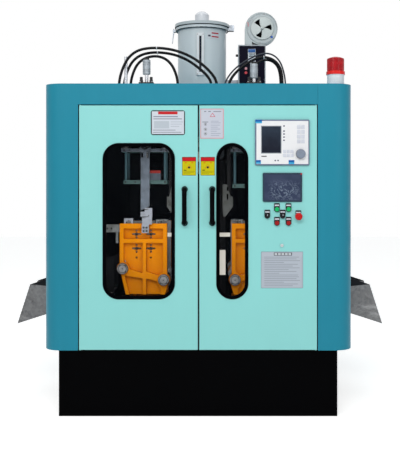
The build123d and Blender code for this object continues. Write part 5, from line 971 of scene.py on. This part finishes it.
for name, (length, radius, y, material, points) in HOSES.items():
    curve = bpy.data.curves.new(name, "CURVE")
    curve.dimensions = "3D"
    curve.bevel_depth = radius
    curve.bevel_resolution = 5
    curve.use_fill_caps = True
    line = curve.splines.new("NURBS")
    line.points.add(len(points) - 1)
    for point, (x, z) in zip(line.points, points):
        point.co = (x, y, z, 1)
    line.order_u = 3
    line.use_endpoint_u = True
    line.resolution_u = 10
    hose = bpy.data.objects.new(name, curve)
    bpy.context.collection.objects.link(hose)
    wear_on(hose, "cabinet", material)
    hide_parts("air_hoses")

gland_black = moulded("gland_black", (30, 31, 34), 0.4)
post_steel = bare_metal("post_steel", (186, 190, 196), (300, 300, 8), gloss=0.24)
dress("hose_supports", gland_black, (post_steel, lambda c, n: math.hypot(c.x + 0.462, c.y + 0.360) < 0.027))
ties = []
for x, y, z in ((-0.270, -0.385, 2.1125), (-0.268, -0.336, 2.0925), (0.392, -0.360, 2.0595)):
    ties.append(loop("tie", (x, y, z), (1, 0, 0), 0.0092, 0.0014, 2.2))
    ties.append(slab("tie", (x - 0.0028, x + 0.0028), (y - 0.0132, y - 0.0092), (z - 0.003, z + 0.003),
                     0.0006))
joined("cable_ties", ties, "cabinet", moulded("tie_white", (226, 228, 230), 0.35))
nuts = []
for _, radius, y, _, points in HOSES.values():
    for x, _ in (points[0], points[-1]):
        nuts.append(round_bar("nut", (x, y, 1.8222), (x, y, 1.8322), radius + 0.0085, 0.001, 6))
joined("gland_nuts", nuts, "cabinet", blacked)

# Doors: two folded sheet leaves in pale mint paint, edged by the dark gap round the opening.
# Their folded edges and backs are painted near-black as painted shade of that gap.
# Each turns on two pins at its outer edge.

mint_paint = film_paint("mint_paint", (149, 224, 221), (196, 226, 224), mottle=0.04, wear=0.2, peel=0.08,
                        gloss=0.36, soil_and_shade=0.5, reach=0.015, Specular_IOR_Level=0.4)
door_edge_shade = film_paint("door_edge_shade", (20, 24, 26), (60, 70, 72), mottle=0.2, gloss=0.5)
for _, label in SIDES:
    dress(f"{label}_door", mint_paint, (door_edge_shade, lambda c, n: c.y > -0.9485 and n.y > -0.5))

# Window seals and panes: a black rubber section, a little chalky with age, grips the edge of each
# window and holds a smeared sheet of clear plastic.

seal_rubber, tree, shader = new_material("seal_rubber", Specular_IOR_Level=0.02)
coords = own_place(tree)
normal, edges = edge_mask(tree, 0.0012)
chalk = band(tree, noise(tree, coords, 14, 6, 0.65), 0.45, 0.8)
base = blend(tree, product(tree, chalk, 0.16), screen(0, 0, 2), screen(16, 18, 23))
# The edges of the seal are lightened a little as a painted highlight.
finish(tree, shader, blend(tree, product(tree, edges, 0.1), base, screen(46, 50, 58)),
       band(tree, chalk, 0.0, 1.0, 0.5, 0.7),
       emboss(tree, noise(tree, coords, 500, 2, 0.5), 0.0004, 0.2, normal))
pane_clear, tree, shader = new_material("pane_clear", Alpha=0.05, IOR=1.49, Specular_IOR_Level=0.08)
coords = own_place(tree)
smear = noise(tree, coords, 1.0, 6, 0.65, (7, 7, 3))
finish(tree, shader, blend(tree, band(tree, smear, 0.4, 0.7), screen(30, 36, 44), screen(60, 66, 74)),
       band(tree, smear, 0.35, 0.7, 0.02, 0.12),
       emboss(tree, noise(tree, coords, 12, 2, 0.4), 0.0003, 0.08))
for _, label in SIDES:
    dress(f"{label}_window_seal", seal_rubber)
    dress(f"{label}_pane", pane_clear)

# Door handles: black plastic-coated tube, bent at both ends, where it runs into the door sheet
# and is screwed from inside.

handle_black = moulded("handle_black", (3, 3, 5), 0.24, 0.05, Specular_IOR_Level=0.03)
for _, label in SIDES:
    dress(f"{label}_handle", handle_black)

# Controller: a light grey operator panel in a blue-grey frame, with a sunk screen and key pads.
# Blue tabs of its protective film are left on three corners.

# The screen is lighter towards its top and in soft clouds, a painted sheen.
screen_navy, tree, shader = new_material("screen_navy", Roughness=0.14, Specular_IOR_Level=0.15)
coords = own_place(tree)
painted_sheen = math_node(tree, "ADD", band(tree, own_axes(tree)["Z"], 1.47, 1.57),
                  band(tree, noise(tree, coords, 14, 4, 0.6), 0.3, 0.7, -0.3, 0.3))
finish(tree, shader, blend(tree, painted_sheen, screen(22, 28, 44), screen(44, 56, 72)), None,
       emboss(tree, noise(tree, coords, 60, 3, 0.5), 0.0002, 0.05))


def rectangle(tree, x, z, soft=0.0006):
    """Mask of a rectangle on the front of the machine."""
    axes = own_axes(tree)
    mask = None
    for axis, (low, high) in (("X", x), ("Z", z)):
        for start, end in ((low - soft, low + soft), (high + soft, high - soft)):
            edge = band(tree, axes[axis], start, end)
            mask = product(tree, mask, edge) if mask else edge
    return mask


def printed(name, ground, areas, gloss=0.38, **constants):
    """Moulded or filmed face with flat areas of other colours on it."""
    material = moulded(name, ground, gloss, 0.08, **constants)
    tree = material.node_tree
    face = tree.nodes["Principled BSDF"].inputs["Base Color"]
    colour = face.links[0].from_socket
    for x, z, fill in areas:
        colour = blend(tree, rectangle(tree, x, z), colour, screen(*fill))
    feed(tree, colour, face)
    return material


panel_finish = printed("panel_finish", (112, 122, 148), [
    ((0.3190, 0.6020), (1.3840, 1.6190), (246, 246, 248)),
    ((0.3440, 0.4560), (1.4410, 1.5930), (158, 164, 172)),
    ((0.3470, 0.4530), (1.4440, 1.5900), (96, 106, 120))])
dress("controller_body", panel_finish,
      (screen_navy, lambda c, n: -0.9605 < c.y < -0.9595 and n.y < -0.9 and 0.348 < c.x < 0.452))
key_pale = moulded("key_pale", (218, 221, 231), 0.35)
key_dark = moulded("key_dark", (70, 78, 104), 0.35)
key_ink = moulded("key_ink", (24, 26, 34), 0.35)
film_blue = moulded("film_blue", (0, 98, 176), 0.25, 0.05)
film_cyan = moulded("film_cyan", (70, 176, 226), 0.25, 0.05)
PANEL_FACE = -0.9616  # just behind the front of the controller
pad_y, mark_y, tab_y = (-0.9632, PANEL_FACE), (-0.9628, PANEL_FACE), (-0.9626, PANEL_FACE - 0.0002)
pads = blocks("pad", (0.5405, 0.5630), (1.4965, 1.5225, 1.5485, 1.5745), 0.0195, 0.0225, pad_y, 0.0008)
pads += blocks("pad", (0.4640, 0.4840, 0.5040), (1.4210, 1.4430), 0.0175, 0.0190, pad_y, 0.0008)
joined("controller_keys", pads, "right_leaf", key_pale)
marks = blocks("mark", (0.4650,), (1.5880, 1.5600, 1.5440, 1.5270, 1.5100), 0.0090, 0.0070, mark_y, 0.0006)
marks += blocks("mark", (0.4180, 0.4330), (1.3995,), 0.0080, 0.0070, mark_y, 0.0006)
joined("controller_marks", marks, "right_leaf", key_dark)
dash = slab("controller_dash", (0.3460, 0.3750), (-0.9626, PANEL_FACE), (1.4235, 1.4285), 0.0004)
wear_on(dash, "right_leaf", key_ink)
blue_tabs, cyan_tabs = [], []
for x, low, high in (((0.3130, 0.3495), 1.6060, 1.6262), ((0.3170, 0.3430), 1.3850, 1.4055),
                     ((0.4945, 0.5260), 1.3830, 1.4055)):
    split = low + 0.45 * (high - low)
    blue_tabs.append(slab("tab", x, tab_y, (split, high), 0.0003))
    cyan_tabs.append(slab("tab", x, tab_y, (low, split), 0.0003))
joined("film_tabs_blue", blue_tabs, "right_leaf", film_blue)
joined("film_tabs_cyan", cyan_tabs, "right_leaf", film_cyan)

# Controller dial: a machined alloy knob with a dark skirt. It turns round its own line on a shaft in
# the controller's face.

dress("controller_knob", bare_metal("dial_alloy", (126, 136, 152), (40, 6, 420), gloss=0.34, metallic=0.6))
skirt = loop("dial_skirt", (0.560, -0.9640, 1.4395), (0, 1, 0), 0.0252, 0.0012)
wear_on(skirt, "dial", blacked)

# Touch panel: dark glass, dimly lit, behind a moulded blue-grey bezel. A red tab of its protective
# film is left on one corner.

glass_blue, tree, shader = new_material("glass_blue", Roughness=0.1, Specular_IOR_Level=0.2)
coords = own_place(tree)
glow = band(tree, noise(tree, coords, 1.0, 3, 0.5, (9, 9, 16)), 0.35, 0.65)
dim = blend(tree, glow, screen(44, 56, 84), screen(58, 68, 96))
streaks = add(tree, "ShaderNodeTexNoise", {"Vector": coords, "Scale": 34.0, "Detail": 5.0,
                                           "Roughness": 0.55, "Distortion": 1.6})
offset = math_node(tree, "ABSOLUTE", math_node(tree, "SUBTRACT", streaks.outputs["Fac"], 0.52))
lines = product(tree, band(tree, offset, 0.012, 0.045, 1.0, 0.0),
                rectangle(tree, (0.400, 0.545), (1.195, 1.280), 0.022))
finish(tree, shader, blend(tree, product(tree, lines, 0.55), dim, screen(150, 166, 186)),
       band(tree, noise(tree, coords, 34, 6, 0.65), 0.5, 0.8, 0.08, 0.26),
       emboss(tree, noise(tree, coords, 40, 3, 0.5), 0.0002, 0.04))
dress("touch_panel", moulded("bezel_blue", (36, 54, 74), 0.4),
      (glass_blue, lambda c, n: -0.9569 < c.y < -0.9561 and n.y < -0.9))
red_tab = slab("film_tab_red", (0.5600, 0.5690), (-0.9586, -0.9578), (1.3260, 1.3335), 0.0003)
wear_on(red_tab, "right_leaf", moulded("film_red", (206, 44, 52), 0.25, 0.05))

# Push buttons and switches: moulded plastic heads in black rings and holders, each clamped in its
# own hole of the right door under a pale legend strip.

cap_green = moulded("cap_green", (0, 186, 104), 0.26, 0.05, Coat_Weight=0.1)
cap_red = moulded("cap_red", (198, 8, 8), 0.26, 0.05, Coat_Weight=0.1)
cap_dark_red = moulded("cap_dark_red", (160, 6, 8), 0.26, 0.05, Coat_Weight=0.1)
switch_black = moulded("switch_black", (10, 11, 14), 0.3)
label_white = moulded("label_white", (222, 226, 236), 0.4)
dress("button_bezels", moulded("holder_black", (16, 19, 24), 0.35))
for _, label in SIDES:
    dress(f"green_button_{label}", cap_green)
    dress(f"red_button_{label}", cap_dark_red)
    dress(f"selector_{label}", switch_black)
dress("estop_button", cap_red, (switch_black, lambda c, n: c.y > -0.9690))
dress("lock_knob", bare_metal("lock_bright", (214, 220, 222), (160, 160, 160), gloss=0.3, stain=0.15,
                              metallic=0.3))
heads = ((0.4315, 1.137), (0.495, 1.137), (0.4315, 1.062), (0.495, 1.062), (0.379, 1.101), (0.463, 1.101),
         (0.5485, 1.098))
strips = [slab("strip", (x - 0.0120, x + 0.0120), (-0.9533, -0.9526), (z + 0.0172, z + 0.0248), 0.0003)
          for x, z in heads]
joined("button_labels", strips, "right_leaf", label_white)
for label, body, x in (("left", "selector_a", 0.379), ("right", "selector_b", 0.463)):
    line = slab(f"selector_{label}_line", (x - 0.0013, x + 0.0013), (-0.9795, -0.9785), (1.1020, 1.1100),
                0.0003)
    wear_on(line, body, label_white)

# Sign plates: two yellow enamelled plates, two white ones and a ruled instruction plate.
# They carry only plain bars, rows and simple signs, each on thin sheet held by its own adhesive.

DOOR_FACE = -0.95  # front of the door sheet


def leaf_at(x):
    """Body of the door leaf that lies at x."""
    return "left_leaf" if x < 0 else "right_leaf"


def plate(name, x, z, areas, ground, corner):
    """Thin plate with rounded corners on the front sheet."""
    clear_selection()
    thickness = 0.0008
    middle = (sum(x) / 2, DOOR_FACE - thickness / 2 - 0.0001, sum(z) / 2)
    bpy.ops.mesh.primitive_cube_add(size=1, location=middle)
    body = bpy.context.object
    body.scale = (x[1] - x[0], thickness, z[1] - z[0])
    bpy.ops.object.transform_apply(location=True, rotation=True, scale=True)
    mesh = body.data
    depths = [abs(mesh.vertices[a].co.y - mesh.vertices[b].co.y) for a, b in mesh.edge_keys]
    select_only(mesh, [edge for edge, depth in zip(mesh.edges, depths) if depth > thickness / 2])
    bpy.ops.object.mode_set(mode="EDIT")
    bpy.ops.mesh.select_mode(type="EDGE")
    bpy.ops.mesh.bevel(offset=corner, segments=5)
    bpy.ops.object.mode_set(mode="OBJECT")
    sheet = freeze(name, 0.0002, 1)
    wear_on(sheet, leaf_at(x[0]), printed(f"{name}_print", ground, areas, 0.4, Specular_IOR_Level=0.15))


def ruled(x, heights, thick, fill, shares):
    """Ruled rows at given heights, each as long as its share of the width."""
    return [((x[0], x[0] + (x[1] - x[0]) * shares[index % len(shares)]), (z, z + thick), fill)
            for index, z in enumerate(heights)]


def inner(limits, inset):
    """Limits moved in from both ends."""
    return limits[0] + inset, limits[1] - inset


def sign(x, z, wide, high, rim, face):
    """Triangle in outline, point up, laid on a plate."""
    for material, shrink, lift in ((rim, 1.0, 0.0), (face, 0.62, 0.0003)):
        clear_selection()
        bpy.ops.mesh.primitive_cone_add(vertices=3, radius1=0.5, radius2=0.5, depth=0.0003,
                                        location=(x, -0.9509 - lift, z), rotation=(math.radians(90), 0, 0))
        piece = bpy.context.object
        bpy.ops.object.transform_apply(location=False, rotation=True, scale=False)
        heights = [vertex.co.z for vertex in piece.data.vertices]
        if min(heights) + max(heights) < -0.0001:
            for vertex in piece.data.vertices:
                vertex.co.z = -vertex.co.z
            piece.data.flip_normals()
        piece.scale = (wide * shrink / 0.866, 1, high * shrink / 0.75)
        wear_on(freeze("sign"), leaf_at(x), material)


sign_orange = moulded("sign_orange", (214, 146, 0), 0.4, 0.05)
sign_yellow = moulded("sign_yellow", (220, 206, 0), 0.4, 0.05)
sign_ink = moulded("sign_ink", (22, 24, 18), 0.4, 0.05)
sign_rose = moulded("sign_rose", (206, 104, 122), 0.4, 0.05)
sign_lilac = moulded("sign_lilac", (206, 210, 222), 0.4, 0.05)
for name, x, z in (("yellow_plate_left", (-0.0870, -0.0109), (1.3215, 1.4227)),
                   ("yellow_plate_right", (0.0145, 0.0922), (1.3220, 1.4227))):
    middle = sum(x) / 2
    foot, top = z
    row = (top - 0.0350, top - 0.0270)
    plate(name, x, z, [
        (inner(x, 0.0022), inner(z, 0.0022), (208, 198, 2)),
        (inner(x, 0.0010), (top - 0.0240, top - 0.0010), (122, 16, 22)),
        (inner(x, 0.0026), (top - 0.0220, top - 0.0035), (206, 24, 34)),
        ((middle - 0.0230, middle - 0.0120), row, (214, 150, 0)),
        ((middle + 0.0120, middle + 0.0230), row, (214, 150, 0)),
        ((x[0] + 0.0090, x[0] + 0.0240), (foot + 0.0262, foot + 0.0310), (92, 88, 8)),
        *ruled(inner(x, 0.0060), (foot + 0.0215, foot + 0.0155, foot + 0.0095), 0.0022, (156, 146, 8),
               (1.0, 0.9, 0.62))], (120, 84, 18), 0.002)
    sign(middle, foot + 0.0470, 0.0330, 0.0240, sign_orange, sign_yellow)
    dot_z = foot + 0.0440
    dot = round_bar(f"{name}_dot", (middle, -0.9510, dot_z), (middle, -0.9517, dot_z), 0.0062, 0.0002, 24)
    wear_on(dot, leaf_at(middle), sign_ink)

grey_text = (128, 134, 150)
plate("white_plate_left", (-0.2580, -0.0710), (1.5425, 1.6780), [
    ((-0.2525, -0.0765), (1.5480, 1.6725), (216, 222, 232)),
    ((-0.2180, -0.1120), (1.6558, 1.6712), (204, 34, 40)),
    ((-0.2400, -0.1575), (1.5790, 1.6190), (192, 201, 211)),
    *ruled((-0.2440, -0.0850), (1.6410,), 0.0048, grey_text, (0.84,)),
    *ruled((-0.2440, -0.0850), (1.6290,), 0.0042, grey_text, (0.98,)),
    *ruled((-0.1500, -0.0820), (1.6130, 1.6010, 1.5890), 0.0030, (176, 184, 196), (1.0, 0.9, 0.7)),
    *ruled((-0.2460, -0.0820), (1.5680, 1.5560), 0.0034, grey_text, (0.75, 0.95))], (20, 26, 32), 0.012)
plate("white_plate_right", (0.0120, 0.1410), (1.5230, 1.6870), [
    ((0.0165, 0.1365), (1.5275, 1.6825), (206, 210, 222)),
    ((0.0340, 0.0450), (1.6690, 1.6740), grey_text),
    ((0.0560, 0.0700), (1.6690, 1.6740), grey_text),
    ((0.0840, 0.1270), (1.6690, 1.6730), grey_text),
    ((0.0240, 0.0560), (1.6120, 1.6160), grey_text),
    *ruled((0.0700, 0.1240), (1.6170, 1.6080, 1.5955, 1.5845, 1.5740, 1.5620, 1.5500, 1.5390), 0.0028,
           (160, 166, 186), (0.8, 1.0, 0.92, 0.7, 0.95, 0.6, 1.0, 0.85))], (222, 160, 172), 0.003)
sign(0.0793, 1.6500, 0.0320, 0.0230, sign_rose, sign_lilac)
rounds = []
for z in (1.6020, 1.5744, 1.5494):
    rounds.append(loop("round", (0.0406, -0.9511, z), (0, 1, 0), 0.0072, 0.0006, 0.5))
    rounds.append(round_bar("dot", (0.0406, -0.9508, z), (0.0406, -0.9513, z), 0.0032, 0.0001, 20))
joined("white_plate_rounds", rounds, "right_leaf", sign_ink)
plate("instruction_plate", (0.3450, 0.5740), (0.7055, 0.9050), [
    ((0.3475, 0.5715), (0.7080, 0.9025), (190, 197, 208)),
    ((0.4150, 0.5140), (0.8835, 0.9000), (44, 48, 58)),
    *[((0.4185 + 0.0190 * index, 0.4335 + 0.0190 * index), (0.8860, 0.8975), (206, 210, 216))
      for index in range(5)],
    *ruled((0.3620, 0.5580), [0.8740 - 0.0098 * index for index in range(17)], 0.0024, (132, 140, 154),
           (0.97, 0.9, 1.0, 0.55, 0.94, 0.8, 0.99, 0.68, 0.9, 0.42, 0.95)),
    ((0.3550, 0.3558), (0.7120, 0.8780), (146, 154, 168)),
    ((0.5640, 0.5648), (0.7120, 0.8780), (146, 154, 168))], (148, 156, 170), 0.002)
